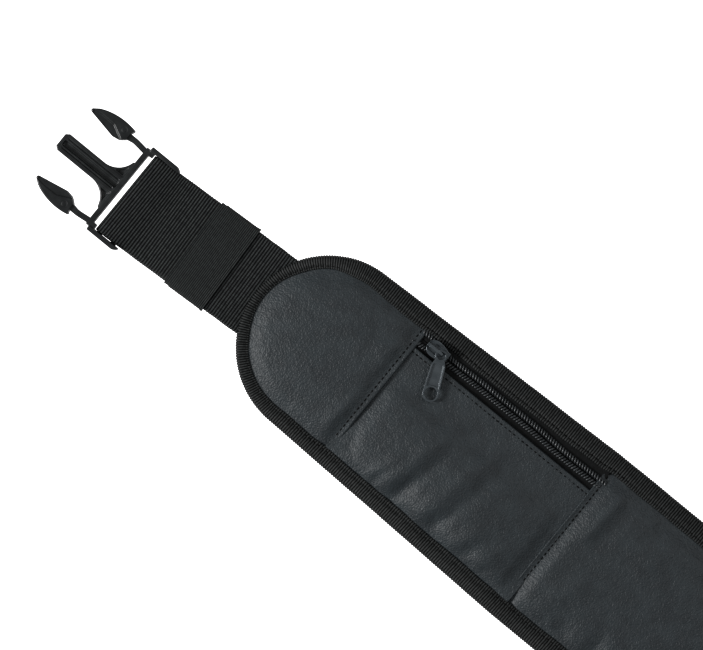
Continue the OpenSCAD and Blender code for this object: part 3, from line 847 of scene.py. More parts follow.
# %% [markdown]
# The end panel is folded under along its seam and lies over the pocket, so its rolled edge is the
# bright line beside the stitches. It is one grid from the rounded tip to the seam. Its columns
# follow the binding, so that no grain or highlight breaks at the outline.

# %% End panels
FINER = 3               # the simulated grid is refined by this much
PRESSURE = 0.6

for number, side in enumerate(SIDES):
    angles = np.linspace(0, math.pi / 2, 14)
    round_x = -TAPER_START - (TIP_RADIUS - 2.6) * np.cos(angles)
    x = np.concatenate([round_x, np.linspace(-TAPER_START, -END_SEAM, 14)[1:]])
    grid = soft_panel(x, 34, lambda x: -under_binding(x), under_binding, end_top, FINER, 11 + number,
                      0.02, PRESSURE)
    leather_sheet(f"{side}_end_leather", grid, side, ["high_x"],
                  nodes=[f"{side}_end_cover"])

# %% [markdown]
# The pocket's panel is hemmed along the zip and held by the two panels that lap over it. On the
# real belt it is one piece. It bends with the end on one side and with the centre on the other,
# and a piece may follow only one joint, so it is cut in the middle, where nothing bends.

# %% Pocket panels
for number, side in enumerate(SIDES):
    x = np.linspace(-END_SEAM - 3, -POCKET_SEAM + 3, 45)
    grid = soft_panel(x, 30, lambda x: -under_binding(x), lambda x: np.full(x.shape, HEM_Y - 0.5),
                      pocket_top, FINER, 21 + number, 0.03, PRESSURE)
    normals = grid_normals(grid)
    middle = len(grid) // 2
    leather_sheet(f"{side}_pocket_leather_outer", grid[:middle + 1], side,
                  ["high_y"], (normals, 0), [f"{side}_pocket_panel"])
    leather_sheet(f"{side}_pocket_leather_inner", grid[middle:], side,
                  ["high_y"], (normals, middle), [])

# %% [markdown]
# The centre panel is one piece too, and is cut at the middle for the same reason. Each half is
# simulated a little past the middle, and its puckers fade out before it, so that the two halves
# meet at the same height with the same normals.

# %% Centre panel
PAST_MIDDLE = 6         # rows simulated beyond the cut
FADE = 25               # the puckers fade over this many millimetres
x = np.linspace(-POCKET_SEAM, 0, 46)
for number, side in enumerate(SIDES):
    both = np.concatenate([x, -x[-2::-1][:PAST_MIDDLE]])
    grid = soft_panel(both, 38, lambda x: -under_binding(x), under_binding, centre_top, FINER,
                      31 + number, 0.02, PRESSURE)
    fade = smooth_step(-grid[..., 0] / FADE)
    calm = centre_top(grid[..., 0], grid[..., 1])
    grid[..., 2] = calm + (grid[..., 2] - calm) * fade
    normals = grid_normals(grid)
    rows = (len(x) - 1) * FINER + 1
    leather_sheet(f"{side}_centre_leather", grid[:rows], side,
                  ["low_x"], (normals, 0), ["centre_cover"] if side == "left" else [])

# %% [markdown]
# Inside each pocket hangs a cloth bag, and in it lies the weight: lead shot in a sewn sleeve.
# All three are pillows, one inside the other, and ride with the pocket. They could be simulated
# as well, but only their swell can be seen, through the leather, so a rounded formula will do.

# %% Pocket bag, sleeve and shot
def pillow(name, side, x, y, z, material, crown, lumps=0.0, below=2.0):
    """A pillow between two heights, thin at its seams, with lumps of shot if asked for."""
    u, v = np.meshgrid(np.linspace(-1, 1, 61), np.linspace(-1, 1, 31), indexing="ij")
    full = ((1 - u ** 6) * (1 - v ** 4)) ** 0.5
    xx = (x[0] + x[1]) / 2 + u * (x[1] - x[0]) / 2 * (1 - 0.02 * (1 - v ** 2))
    yy = (y[0] + y[1]) / 2 + v * (y[1] - y[0]) / 2 * (1 - 0.03 * (1 - u ** 2))
    middle, half = (z[0] + z[1]) / 2, (z[1] - z[0]) / 2
    bumps = lumps * np.cos(xx * 2.2) * np.cos(yy * 2.2)
    top = np.stack([xx, yy, middle + half * (crown + (1 - crown) * full) + bumps * full], axis=-1)
    top[..., 2] = np.minimum(top[..., 2], pocket_top(xx, yy) - FABRIC - below)
    under = np.stack([xx, yy, middle - half * (crown + (1 - crown) * full)], axis=-1)
    under[..., 2] = np.minimum(under[..., 2], top[..., 2] - 0.3)
    thing = slab(name, top, under, side, material)
    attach(thing, f"{side}_pocket")
    return thing


# piece: (node, slot, x, y, z, material, crown, lumps, gap below the leather)
FILLING = {
    "lead_shot_pillow": ("lead_shot", "lead", (-236, -138), (-34, 2), (4.4, 7.2), LEAD, 0.1, 0.15, 1.4),
    "sewn_shot_sleeve": ("shot_sleeve", "sleeve", (-240, -134), (-36, 5), (3.9, 7.8), SLEEVE, 0.1, 0.0, 0.9),
    "pocket_bag_cloth": ("pocket_bag", "lining", (-243, -131), (-38.5, 24), (3.4, 8.4), LINING, 0.05,
                         0.0, 0.4),
}
for side in SIDES:
    for piece, (node, slot, *shape) in FILLING.items():
        thing = pillow(f"{side}_{piece}", side, *shape)
        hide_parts(f"{side}_{node}")
print("bags, sleeves and shot made")

# %% [markdown]
# ## Edge binding
# A grosgrain tape folded round the edge and stitched through. It is a lofted U: one profile is
# carried along the outline, and the ribs of the weave are raised across it by Geometry Nodes.

# %% Outline path
def outline_path(spacing):
    """Points round the left half's outline from the top middle to the bottom middle, evenly spaced."""
    arc = np.linspace(math.pi / 2, math.pi * 1.5, 400)
    top = [(0, HALF_WIDTH), (-POCKET_SEAM, HALF_WIDTH)]
    tip = [(-TAPER_START + TIP_RADIUS * math.cos(a), TIP_RADIUS * math.sin(a)) for a in arc]
    corner = np.array(top + tip + [(-POCKET_SEAM, -HALF_WIDTH), (0, -HALF_WIDTH)])
    reach = np.concatenate([[0], np.cumsum(np.hypot(*np.diff(corner, axis=0).T))])
    count = int(round(reach[-1] / spacing)) + 1
    along = np.linspace(0, reach[-1], count)
    path = np.stack([np.interp(along, reach, corner[:, i]) for i in (0, 1)], axis=-1)
    tangent = np.gradient(path, axis=0)
    tangent /= np.linalg.norm(tangent, axis=1, keepdims=True)
    inward = np.stack([-tangent[:, 1], tangent[:, 0]], axis=-1)
    kernel = np.ones(15) / 15       # turns the corner between the straight edge and the tip gently
    for i in (0, 1):
        inward[7:-7, i] = np.convolve(inward[:, i], kernel, "valid")
    return along, path, inward / np.linalg.norm(inward, axis=1, keepdims=True)


def lip_floor(x, y):
    """Height of what the binding's upper lip lies on."""
    low_pocket = np.where(y > 0, TAPE_TOP, pocket_top(x, np.minimum(y, 0)))
    ax = np.abs(x)
    return np.where(ax > END_SEAM, end_top(x, y), np.where(ax > POCKET_SEAM, low_pocket, centre_top(x, y)))


# %% [markdown]
# The profile starts at the upper lip's inner edge, comes out over the top, turns round the edge and
# goes back in underneath, then returns along the inside of the fold. It is a row of pairs:
# how far in from the outline, and how high. The upper lip lies on what is under it, so its
# height is asked from the panels.

# %% Binding profile
LIP_STEPS = (0.0, 0.05, 0.16, 0.23, 0.30, 0.45, 0.6, 0.75, 0.88)     # shares of the lip's width
STITCH_GROOVE = 0.21    # where the row of stitches pulls the lip down, as a share of its width
EDGE_RINGS = ((0.55, 5.2), (0.15, 4.3), (0.0, 3.1), (0.15, 1.8), (0.6, 0.8), (1.8, 0.25), (5.5, 0.1),
              (9.4, 0.1))
INSIDE_RINGS = ((9.5, 0.6), (1.6, 1.2), (1.0, 3.1), (1.6, 4.9))


def binding_rings(side, spacing=RIB_PITCH / 6):
    """The binding's rings round the outline, and how strongly each of their points is ribbed."""
    along, path, inward = outline_path(spacing)
    seed = 1 if side == "left" else 2
    beside_zip = (path[:, 1] > 0) * (smooth_step((END_SEAM + 4 - np.abs(path[:, 0])) / 10)
                                     * smooth_step((np.abs(path[:, 0]) - POCKET_SEAM + 4) / 10))
    shoulder = (smooth_step((path[:, 1] - 25) / 20) * smooth_step((np.abs(path[:, 0]) - END_SEAM + 6) / 10)
                * smooth_step((318 - np.abs(path[:, 0])) / 25))
    width = (binding_width(path[:, 0]) + 1.3 * beside_zip + 1.9 * shoulder
             + 0.35 * wobble(along, 0 * along, 16, seed))
    wave = 0.22 * wobble(along, 0 * along, 24, seed + 5) + 0.08 * wobble(along, 0 * along, 5, seed + 9)
    inner = path + inward * width[:, None]
    floor = lip_floor(inner[:, 0], inner[:, 1])
    floor = np.convolve(np.pad(floor, 40, "edge"), np.ones(81) / 81, "valid")
    lip = np.maximum(floor + 0.75, 5.7)
    rings, strength = [], []
    for t in LIP_STEPS:
        depth = width * (1 - t)
        groove = 0.38 * math.exp(-((t - STITCH_GROOVE) / 0.06) ** 2)
        puffed = 0.32 * math.sin(math.pi * min(1, t * 1.1)) - groove
        height = lip * (1 - t) + (EDGE_HEIGHT - 0.35) * t + puffed - (0.35 if t == 0 else 0)
        rings.append((depth, height))
        strength.append(0.7 if t < 0.3 else 1.0)
    for depth, height in EDGE_RINGS:
        rings.append((depth + 0 * width, height + 0 * width))
        strength.append(1.0 if depth < 2 else 0.4)
    for depth, height in INSIDE_RINGS:
        rings.append((depth + 0 * width, height + 0 * width))
        strength.append(0.0)
    rings.append((width - 0.05, lip - 1.0))
    strength.append(0.0)
    depth = np.stack([r[0] for r in rings], axis=1) - wave[:, None] * 0.5
    height = np.stack([r[1] for r in rings], axis=1)
    points = np.concatenate([path[:, None, :] + inward[:, None, :] * depth[..., None], height[..., None]],
                            axis=-1)
    return along, points, np.array(strength)


def split_runs(x):
    """The outline's outer run, and the inner runs along the top and the bottom."""
    outer = np.flatnonzero(x <= -POCKET_MIDDLE)
    return {"outer": (outer[0], outer[-1] + 1), "top": (0, outer[0] + 1), "bottom": (outer[-1], len(x))}


# %% Binding
BINDING_NODES = {"outer": ["{}_end_binding"], "top": ["{}_pocket_top_binding"],
                 "bottom": ["{}_pocket_bottom_binding"]}

for side in SIDES:
    along, points, strength = binding_rings(side)
    for run, (first, last) in split_runs(points[:, 12, 0]).items():
        ring = points[first:last]
        rows, columns = ring.shape[:2]
        thing = make_object(f"{side}_binding_{run}", ring, grid_faces(rows, columns, closed=True)
                            + fan_caps(rows, columns), side)
        point_outwards(thing)
        raise_ribs(thing, np.repeat(along[first:last], columns), np.tile(strength, rows),
                   RIB_PITCH, 0.45, BINDING)
        reach = (along[last - 1] - along[first]) * MM
        nodes = [n.format(side) for n in BINDING_NODES[run]]
        if side == "left" and run != "outer":
            nodes.append(f"centre_{run}_binding")
        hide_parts(*nodes)
        bend_pad(thing)

# %% [markdown]
# ## Zip
# Two woven tapes lie under the gap between the hem and the binding. They meet in the middle, and
# the meeting line wanders a little, as it does on a pocket that is full.

# %% Tapes
TAPE_THICK = 0.55
TAPE_GAP = 0.12         # from the middle line to each tape's edge
ZIP_LOW, ZIP_HIGH = -END_SEAM - 2.0, -POCKET_SEAM + 2.0


def zip_wander(x):
    """The coil is never quite straight: it wanders a little between its ends."""
    ends = smooth_step((x - ZIP_LOW) / 16) * smooth_step((ZIP_HIGH - x) / 16)
    return ends * (0.35 * np.sin((x + 212) / 15) + 0.15 * np.sin((x + 180) / 6.1))


def tape(name, side, low, high, node):
    x = np.linspace(ZIP_LOW, ZIP_HIGH, 241)
    grid = panel_grid(x, 16, low, high, lambda x, y: TAPE_TOP + 0.06 * wobble(x, y, 7, 3))
    thing = slab(name, grid, lowered(grid, TAPE_THICK), side, TAPE)
    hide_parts(node)
    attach(thing, f"{side}_pocket")
    return thing


for side in SIDES:
    tape(f"{side}_lower_tape", side, lambda x: np.full(x.shape, 24.6),
         lambda x: ZIP_Y - TAPE_GAP + zip_wander(x), f"{side}_lower_zip_tape")
    tape(f"{side}_upper_tape", side, lambda x: ZIP_Y + TAPE_GAP + zip_wander(x),
         lambda x: half_width(x) - 3.0, f"{side}_upper_zip_tape")

# %% [markdown]
# A coil zip has no separate teeth: one filament is wound into a flat spiral, and from above each
# turn looks like a slanted tooth. So each tooth is a slanted grain, set along its tape by the
# stitch tree. A chain of thread runs along the middle and sews the coil to its tape. The two
# coils are half a pitch out of step, so that they mesh, and part behind the slider.

# %% Coils
TOOTH_PITCH = 1.64
TOOTH_MIDDLE = 1.75     # from the middle line to the middle of a tooth
TOOTH_Z, CHAIN_Z = 0.62, 1.3
PART_START = 236.5      # the coils are parted from here to the end seam

for side in SIDES:
    x = np.linspace(ZIP_LOW, ZIP_HIGH, 600)
    parted = smooth_step((-PART_START - x) / 8)
    for which, sign in (("lower", -1), ("upper", 1)):
        shift = TOOTH_PITCH / 2 if which == "upper" else 0
        y = ZIP_Y + zip_wander(x) + sign * (TOOTH_MIDDLE + parted * 1.6)
        x_row = x + shift + sign * TOOTH_MIDDLE * 0.25
        teeth = sew(f"{side}_{which}_coil", np.stack([x_row, y, 0 * x + TAPE_TOP + TOOTH_Z], axis=-1), side,
                    TOOTH_PITCH, 1.15, 3.5, 1.9, COIL, slant=28 * sign)
        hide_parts(f"{side}_{which}_zip_coil")
        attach(teeth, f"{side}_pocket")
        chain = sew(f"{side}_{which}_coil_thread", np.stack([x_row, y, 0 * x + TAPE_TOP + CHAIN_Z], axis=-1),
                    side, TOOTH_PITCH / 2, 0.95, 0.3, 0.5)
        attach(chain, f"{side}_pocket")

# %% [markdown]
# ## Topstitching
# Black bonded thread, one stitch every 2.9 mm, sunk a little into the leather by its tension.
# Every row follows the surface below it, so the stitch lines are made from the same functions.
# The two seams have a row each, the hem has one along the zip, and the binding has one round the
# whole belt. Each row is split where the leather below it is split.

# %% Stitch rows
HEM_INSET = 2.4
ABOVE = 0.02            # the thread's middle lies this far above the leather


def sewn_down(name, line, side, width=0.8):
    """A row of stitches, with its place baked in."""
    thing = sew(name, line, side, width=width)
    bend_pad(thing)


def on_panel(x, y, height):
    x, y = np.broadcast_arrays(np.asarray(x, float), np.asarray(y, float))
    return np.stack([x, y, height(x, y) + ABOVE], axis=-1)


for side in SIDES:
    across = np.linspace(-1, 1, 200)
    edge = float(half_width(END_SEAM)) - 9.6
    sewn_down(f"{side}_end_seam_thread", on_panel(-END_SEAM - SEAM_INSET, across * edge, end_top),
              side)
    edge = HALF_WIDTH - 11.2
    sewn_down(f"{side}_pocket_seam_thread", on_panel(-POCKET_SEAM + SEAM_INSET, across * edge, centre_top),
              side)
    for group, low, high in (("outer", -END_SEAM + 1, -POCKET_MIDDLE - 1.3),
                             ("inner", -POCKET_MIDDLE + 1.3, -POCKET_SEAM - 1)):
        line = on_panel(np.linspace(low, high, 200), HEM_Y - HEM_INSET, pocket_top)
        sewn_down(f"{side}_hem_thread_{group}", line, side)
    along, points, strength = binding_rings(side, 2.0)
    row = (points[:, 2] + points[:, 3]) / 2
    for run, (first, last) in split_runs(points[:, 12, 0]).items():
        group = "outer" if run == "outer" else "inner"
        sewn_down(f"{side}_binding_thread_{run}", row[first:last], side, 0.6)

# %% [markdown]
# ## Webbing and keeper
# The strap leaves the pad, passes the elastic keeper, climbs over the buckle's rear bar, turns
# round its front bar and comes back underneath. It is one strip swept along that path, and the
# ribs across it come from the same rib tree as the binding's. A curve with a bevel would twist
# round the bar, so the path is a list of points, smoothed by averaging its neighbours.

# %% Strap path
BAR_S = 83.1                        # distance of the buckle's front bar from the pad's tip
BAR_Z, TURN_R = 4.1, 2.31           # the bar's height, and the turn's radius
UPPER_Z, LOWER_Z = 3.25, 1.65       # heights of the two layers
STRAP_COS, STRAP_SIN = math.cos(STRAP_SKEW), math.sin(STRAP_SKEW)


def strap_path(spacing):
    """The strip's centre line as (distance from the pad's tip, height), evenly spaced."""
    turn = np.linspace(math.pi / 2, -math.pi / 2, 40)
    knots = [(-54.5, UPPER_Z), (0, UPPER_Z), (BAR_S - 20.5, UPPER_Z), (BAR_S - 16, 3.9),
             (BAR_S - 10.8, 5.1), (BAR_S - 5, 5.9)]
    knots += [(BAR_S + TURN_R * math.cos(a), BAR_Z + TURN_R * math.sin(a)) for a in turn]
    knots += [(BAR_S - 6, 1.72), (BAR_S - 14.5, LOWER_Z), (-1.3, LOWER_Z)]
    knots = np.array(knots)
    reach = np.concatenate([[0], np.cumsum(np.hypot(*np.diff(knots, axis=0).T))])
    along = np.linspace(0, reach[-1], int(reach[-1] / spacing) + 1)
    path = np.stack([np.interp(along, reach, knots[:, i]) for i in (0, 1)], axis=-1)
    for _ in range(3):
        path[4:-4] = np.stack([np.convolve(path[:, i], np.ones(9) / 9, "valid") for i in (0, 1)], axis=-1)
    return along, path


def on_strap(s, across, z):
    """From a place on the strap to the pad's frame; the strip turns straight at the buckle."""
    skew = STRAP_SKEW * (1 - smooth_step((s - 56) / 20))
    x = -TIP - s * STRAP_COS + across * np.sin(skew) * -1
    y = STRAP_Y - s * STRAP_SIN + across * np.cos(skew)
    return np.stack(np.broadcast_arrays(x, y, z), axis=-1)


# %% [markdown]
# The strip is a closed tube with a flat top, a flat underside and rounded edges. Its top has a
# point every two thirds of a millimetre, so that the beads show. The edges wave a little,
# because the weft pulls them in where it turns back.

# %% Webbing strip
WEB_THICK = 1.3
TOP_POINTS = 76
BEAD_GROUP = 2.2        # every second bead stands a little higher


def strip(side, name, first, last, along, path):
    """A length of webbing with rounded edges, as a closed tube of rings."""
    tangent = np.gradient(path, axis=0)
    tangent /= np.linalg.norm(tangent, axis=1, keepdims=True)
    normal = np.stack([-tangent[:, 1], tangent[:, 0]], axis=-1)[first:last]
    path, along = path[first:last], along[first:last]
    half = WEBBING_WIDTH / 2 - 0.25
    upper = np.linspace(-half, half, TOP_POINTS)
    lower = upper[::-4]
    across = np.concatenate([upper, [half + 0.3], lower, [-half - 0.3]])
    lift = np.concatenate([np.full(len(upper), 0.5), [0], np.full(len(lower), -0.5), [0]]) * WEB_THICK
    edge = 0.16 * wobble(along, 0 * along, 9, 4)
    s = path[:, :1] + normal[:, :1] * lift
    z = path[:, 1:] + normal[:, 1:] * lift
    wide = across[None, :] * (1 + edge[:, None] / half)
    points = on_strap(s, wide, z)
    rows, columns = points.shape[:2]
    thing = make_object(name, points, grid_faces(rows, columns, closed=True) + fan_caps(rows, columns), side)
    point_outwards(thing)
    beads = 0.82 + 0.18 * np.cos(2 * math.pi * across / BEAD_GROUP)
    raise_ribs(thing, np.repeat(along, columns), np.tile(beads, rows), WEB_PITCH, 0.5, WEBBING,
                np.tile(across, rows))
    return thing, (along[-1] - along[0]) * MM


# %% [markdown]
# The strap bends where it leaves the pad and again behind the buckle, and a piece may cross one
# joint only. So it is cut under the keeper, where the cut can't be seen: from the pad to the
# keeper, from the keeper round the bar and back, and the free end underneath.

# %% Webbing
STRAP_CUT = 29.0

for side in SIDES:
    sign = -1 if side == "left" else 1
    along, path = strap_path(WEB_PITCH / 6)
    top = len(path) // 2
    first_cut = int(np.argmin(np.abs(path[:top, 0] - STRAP_CUT)))
    last_cut = top + int(np.argmin(np.abs(path[top:, 0] - STRAP_CUT)))
    tab, length = strip(side, f"{side}_strap_from_pad", 0, first_cut + 1, along, path)
    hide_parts(f"{side}_webbing_tab", f"{side}_webbing_strap")
    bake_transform(tab)
    loop, length = strip(side, f"{side}_strap_round_bar", first_cut, last_cut + 1, along, path)
    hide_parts(f"{side}_webbing_loop")
    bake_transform(loop)
    end, length = strip(side, f"{side}_strap_return", last_cut, len(path), along, path)
    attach(end, f"{side}_strap")

# %% [markdown]
# The keeper is a band of knitted elastic, sewn into a ring. Its ribs are finer than the
# webbing's, and it grips both layers. It is made of an outer and an inner tube, joined at their
# ends. The outer one steps down at its seam, where the overlap of the band ends.

# %% Keeper
KEEPER_START, KEEPER_END, KEEPER_SEAM = 17.0, 41.5, 39.2        # along the strap
KEEPER_POWER = 0.2        # bends a circle into a flat ring with small round corners
KEEPER_Z = 2.45
KEEPER_OUTSIDE, KEEPER_INSIDE = (26.3, 2.65), (25.72, 1.92)     # half widths and half heights

for side in SIDES:
    s = np.linspace(KEEPER_START, KEEPER_END, 190)
    angle = np.linspace(0, 2 * math.pi, 96, endpoint=False)
    shape_y = np.sign(np.cos(angle)) * np.abs(np.cos(angle)) ** KEEPER_POWER
    shape_z = np.sign(np.sin(angle)) * np.abs(np.sin(angle)) ** KEEPER_POWER
    step = -0.3 * smooth_step((s - KEEPER_SEAM + 0.2) / 0.8)
    seam = -0.35 * np.exp(-((s - KEEPER_SEAM) / 0.35) ** 2)
    swell = 0.25 * np.exp(-((s - KEEPER_START - 0.6) / 0.9) ** 2)
    grow = (step + seam + swell)[:, None]
    (wide, high), (wide_in, high_in) = KEEPER_OUTSIDE, KEEPER_INSIDE
    reach = s[:, None] + 0 * angle
    outer = on_strap(reach, shape_y * (wide + grow), KEEPER_Z + shape_z * (high + grow * 0.6))
    inner = on_strap(reach, shape_y * wide_in, KEEPER_Z + shape_z * high_in)
    rows, columns = outer.shape[:2]
    points = np.concatenate([outer.reshape(-1, 3), inner.reshape(-1, 3)])
    faces = grid_faces(rows, columns, closed=True)
    faces += [f[::-1] for f in grid_faces(rows, columns, closed=True, start=rows * columns)]
    for row, flip in ((0, False), (rows - 1, True)):
        for i in range(columns):
            j = (i + 1) % columns
            quad = [row * columns + i, row * columns + j,
                    (rows + row) * columns + j, (rows + row) * columns + i]
            faces.append(quad[::-1] if flip else quad)
    keeper = make_object(f"{side}_elastic_band", points, faces, side)
    point_outwards(keeper)
    strength = np.concatenate([np.ones(rows * columns), np.zeros(rows * columns)])
    raise_ribs(keeper, np.tile(np.repeat(s, columns), 2), strength, KNIT_PITCH, 0.34, ELASTIC)
    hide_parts(f"{side}_elastic_keeper")
    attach(keeper, f"{side}_keeper")

# %% [markdown]
# ## Buckle, slider and pull
# Mouldings and castings have no sharp edges. A copy of each rigid piece is remeshed on a fine
# grid and smoothed, which rounds every edge by about the same radius, as a mould does. A bevel
# would need clean edge loops, which these pieces don't have. Then the small levels of its face
# are pressed in by height: recesses, ridges and the ejector's mark.

# %% Moulded copies
def moulded(name, node, voxel, passes, material, body, press=None, bend=None):
    """A rounded copy of a rigid node that rides on its body, or, if bend is given, keeps its place baked in.
    """
    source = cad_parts[node]
    mesh = source.data.copy()
    thing = bpy.data.objects.new(name, mesh)
    bpy.context.scene.collection.objects.link(thing)
    mesh.transform(Matrix.Scale(1 / MM, 4))
    work = bmesh.new()
    work.from_mesh(mesh)
    bmesh.ops.remove_doubles(work, verts=work.verts, dist=0.002)
    bmesh.ops.recalc_face_normals(work, faces=work.faces)
    work.to_mesh(mesh)
    work.free()
    remesh = thing.modifiers.new("even grid", "REMESH")
    remesh.mode, remesh.voxel_size = "VOXEL", voxel
    soften = thing.modifiers.new("rounded edges", "SMOOTH")
    soften.factor, soften.iterations = 0.5, passes
    plain_mesh(thing)
    if press:
        points = np.empty(len(thing.data.vertices) * 3, np.float32)
        normals = np.empty_like(points)
        thing.data.vertices.foreach_get("co", points)
        thing.data.vertices.foreach_get("normal", normals)
        points, normals = points.reshape(-1, 3), normals.reshape(-1, 3)
        points += np.stack(np.broadcast_arrays(*press(points, np.clip(normals[:, 2], 0, 1))), axis=-1)
        thing.data.vertices.foreach_set("co", points.ravel())
    thing.data.transform(Matrix.Scale(MM, 4))
    thing.data.polygons.foreach_set("use_smooth", [True] * len(thing.data.polygons))
    thing.data.materials.clear()
    thing.data.materials.append(material)
    thing.data.update()
    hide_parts(node)
    if bend:
        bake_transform(thing)
    else:
        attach(thing, body)
    print(f"{name}: {len(thing.data.polygons)} faces")
    return thing


# %% [markdown]
# Each press takes the points and says how far to move them. Everything is measured from the
# buckle's own bar, or from the slider's place on the zip, in millimetres. "up" is how much a
# point faces upwards, so the sides stay where they are.

# %% Presses for the buckle
def step_in(distance, width=0.35):
    """0 outside and 1 inside, over a rounded step."""
    return smooth_step(distance / width)


def on_buckle(points):
    """Places measured from the buckle's bar and its middle line."""
    return points[:, 0] + BUCKLE_X, points[:, 1] - BUCKLE_Y


def press_plug(points, up):
    """Ridges along the tongue, recessed gussets beside it, and its corners rounded."""
    x, y = on_buckle(points)
    side, y = np.sign(y), np.abs(y)
    upper = up * (points[:, 2] > 4)
    groove = step_in(y - 2.4) * step_in(3.2 - y) * step_in(x + 44) * step_in(-9.5 - x) * (x < -8)
    gusset = (step_in(y - 6.0) * step_in(-9.7 - x) * step_in(np.hypot(x + 21.5, y - 17.5) - 13.2)
              * (x > -24) * (x < -9) * step_in(16.5 - y))
    corner = smooth_step((y - 3.6) / 1.6) * smooth_step((-44.6 - x) / 1.6)
    return 1.1 * corner, -0.35 * side * corner, (-0.9 * groove - 1.3 * gusset) * upper


def press_arm(points, up):
    """The hook's face on two levels, the ejector's mark, and a root that runs into the frame."""
    x, y = on_buckle(points)
    side, y = np.sign(y), np.abs(y)
    ridge = np.interp(x, [-44, -38, -30, -21.5, -17], [24.0, 24.7, 24.5, 20.2, 19])
    low = step_in(ridge - y, 1.1) * (x < -19) * (x > -43.0)
    ring = np.exp(-((np.hypot(x + 24, y - 25) - 1.5) / 0.25) ** 2)
    root = smooth_step((x + 16) / 6)
    return 3.4 * root, -0.9 * side * root, (-0.8 * low - 0.18 * ring) * up * (points[:, 2] > 4)


# %% Presses for the slider and its pull
SLIDER_X = 9            # the slider's middle, in from the end seam
BRIDGE_LEG = 4.6        # from there to the leg of the bridge that holds the pull
PULL_TURN = math.radians(66.3)


def press_slider(points, up):
    """A waisted nose and a sunk oval round the bridge."""
    side = np.where(points[:, 0] < 0, 1, -1)
    x = side * points[:, 0] + END_SEAM - SLIDER_X
    y = points[:, 1] - ZIP_Y
    nose = smooth_step((x - 2) / 6) * 0.24
    sunk = step_in(2.7 - np.hypot(np.clip(np.abs(x - 0.8) - 2.6, 0, None), y), 0.4) * (points[:, 2] < 8.8)
    hole = (np.abs(y) > 0.9) + (x > 5.6) > 0
    return 0 * x, -y * nose, -0.85 * sunk * hole * up * (points[:, 2] > 7.9)


def press_pull(points, up):
    """A hollow face between its rims."""
    side = np.where(points[:, 0] < 0, 1, -1)
    x, y = side * points[:, 0] + END_SEAM - SLIDER_X - BRIDGE_LEG, points[:, 1] - ZIP_Y
    along = x * math.cos(PULL_TURN) - y * math.sin(PULL_TURN)
    across = np.abs(x * math.sin(PULL_TURN) + y * math.cos(PULL_TURN))
    half = np.interp(along, [3.4, 6.4, 21.5], [2.6, 3.8, 4.35])
    face = (step_in(half - 0.9 - across, 0.4) * step_in(along - 5.2, 0.4)
            * step_in(np.hypot(along - 21.53, across) - 4.2, 0.4) * (along < 21))
    return 0 * x, 0 * x, -0.45 * face * up * (points[:, 2] > 9.5)


# %% Buckle, sliders and pulls
moulded("plug_body", "plug_frame", 0.27, 9, ACETAL, "plug", press_plug)
for which, sign in (("upper", 1), ("lower", -1)):
    root = [((-BUCKLE_X + x) * MM, (BUCKLE_Y + sign * 24) * MM, 4 * MM) for x in (-9.5, -14)]
    moulded(f"plug_{which}_prong", f"plug_{which}_arm", 0.25, 8, ACETAL, None, press_arm,
            ("plug", f"{which}_arm", *root))
moulded("socket_body", "socket_shell", 0.5, 6, ACETAL, "socket")
for side in SIDES:
    moulded(f"{side}_cast_slider", f"{side}_zip_slider", 0.15, 3, PAINTED_ZINC,
            f"{side}_slider", press_slider)
    moulded(f"{side}_cast_pull", f"{side}_zip_pull", 0.15, 3, PAINTED_ZINC,
            f"{side}_pull", press_pull)

# %% [markdown]
# ## Light, floor and camera
# A soft lamp low on one side gives the long highlights on the leather's folds, and a weak one
# opposite fills the shadows. The sky is bright where it is seen and dimmer where it is mirrored,
# which keeps black things black on a white ground.

# %% Light
AIM = Vector((-279.7, 17.2, 4)) * MM
SKY, SKY_MIRRORED_LESS, SKY_SEEN_MORE = 0.6, 0.46, 1.0


def soft_lamp(name, direction, distance, size, power):
    """A round lamp in that direction from the aim, pointed at it."""
    data = bpy.data.lights.new(name, "AREA")
    data.shape, data.size, data.energy = "DISK", size, power
    lamp = bpy.data.objects.new(name, data)
    bpy.context.scene.collection.objects.link(lamp)
    lamp.location = AIM + Vector(direction).normalized() * distance
    lamp.rotation_euler = (AIM - lamp.location).to_track_quat("-Z", "Y").to_euler()
    return lamp


lamps = [soft_lamp("key", (-0.77, -0.63, 0.6), 1.5, 0.45, 25),
         soft_lamp("fill", (0.5, 0.9, 1.2), 1.8, 1.0, 5)]

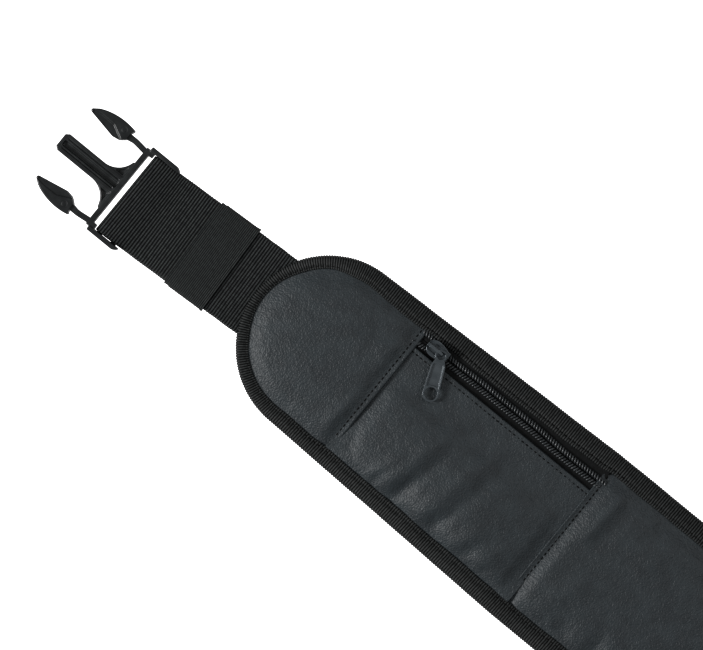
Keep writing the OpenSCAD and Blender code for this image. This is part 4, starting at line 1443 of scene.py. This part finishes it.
world = bpy.data.worlds.new("studio")
bpy.context.scene.world = world
world.use_nodes = True
sky = world.node_tree
sky.nodes.clear()
seen = add_node(sky, "ShaderNodeLightPath").outputs
mirrored = maths(sky, "MULTIPLY", seen["Is Glossy Ray"], SKY_MIRRORED_LESS)
dimmed = maths(sky, "SUBTRACT", SKY, mirrored)
strength = maths(sky, "ADD", dimmed, maths(sky, "MULTIPLY", seen["Is Camera Ray"], SKY_SEEN_MORE))
glow = add_node(sky, "ShaderNodeBackground", Color=(1, 1, 1, 1), links={"Strength": strength})
add_node(sky, "ShaderNodeOutputWorld", links={"Surface": glow.outputs[0]})
bpy.context.scene.view_settings.view_transform = "Standard"

# %% [markdown]
# The floor lies well below the belt. When the belt is bent as it is worn, its ends fold down past
# its back, and a floor just under the back would hide them. It only takes what shadow reaches
# it, and the lamps pass it by, so that it stays pale.

# %% Floor
FLOOR_Z = -400.0
floor = make_object("floor", [(-3000, -3000, FLOOR_Z), (3000, -3000, FLOOR_Z), (3000, 3000, FLOOR_Z),
                              (-3000, 3000, FLOOR_Z)], [[0, 1, 2, 3]])
paper, _, _, _ = new_material("pale_paper", "#f4f4f4", 0.9)
floor.data.materials.append(paper)
floor.is_shadow_catcher = True
unlit = bpy.data.collections.new("lit by the sky alone")
unlit.objects.link(floor)
unlit.collection_objects[0].light_linking.link_state = "EXCLUDE"
for lamp in lamps:
    lamp.light_linking.receiver_collection = unlit

# %% [markdown]
# The camera is high above and looks straight down through a long lens, so that nothing leans.
# It is turned, so that the belt runs down to the right.

# %% Camera
CAMERA_HEIGHT = 2.0556      # above the aim, in metres
CAMERA_TURN = math.radians(39.3)
camera_data = bpy.data.cameras.new("camera")
camera_data.lens, camera_data.sensor_width = 200, 36
camera_data.clip_end = 20
camera = bpy.data.objects.new("camera", camera_data)
bpy.context.scene.collection.objects.link(camera)
camera.location = AIM + Vector((0, 0, CAMERA_HEIGHT))
camera.rotation_euler = (0, 0, CAMERA_TURN)
bpy.context.scene.camera = camera
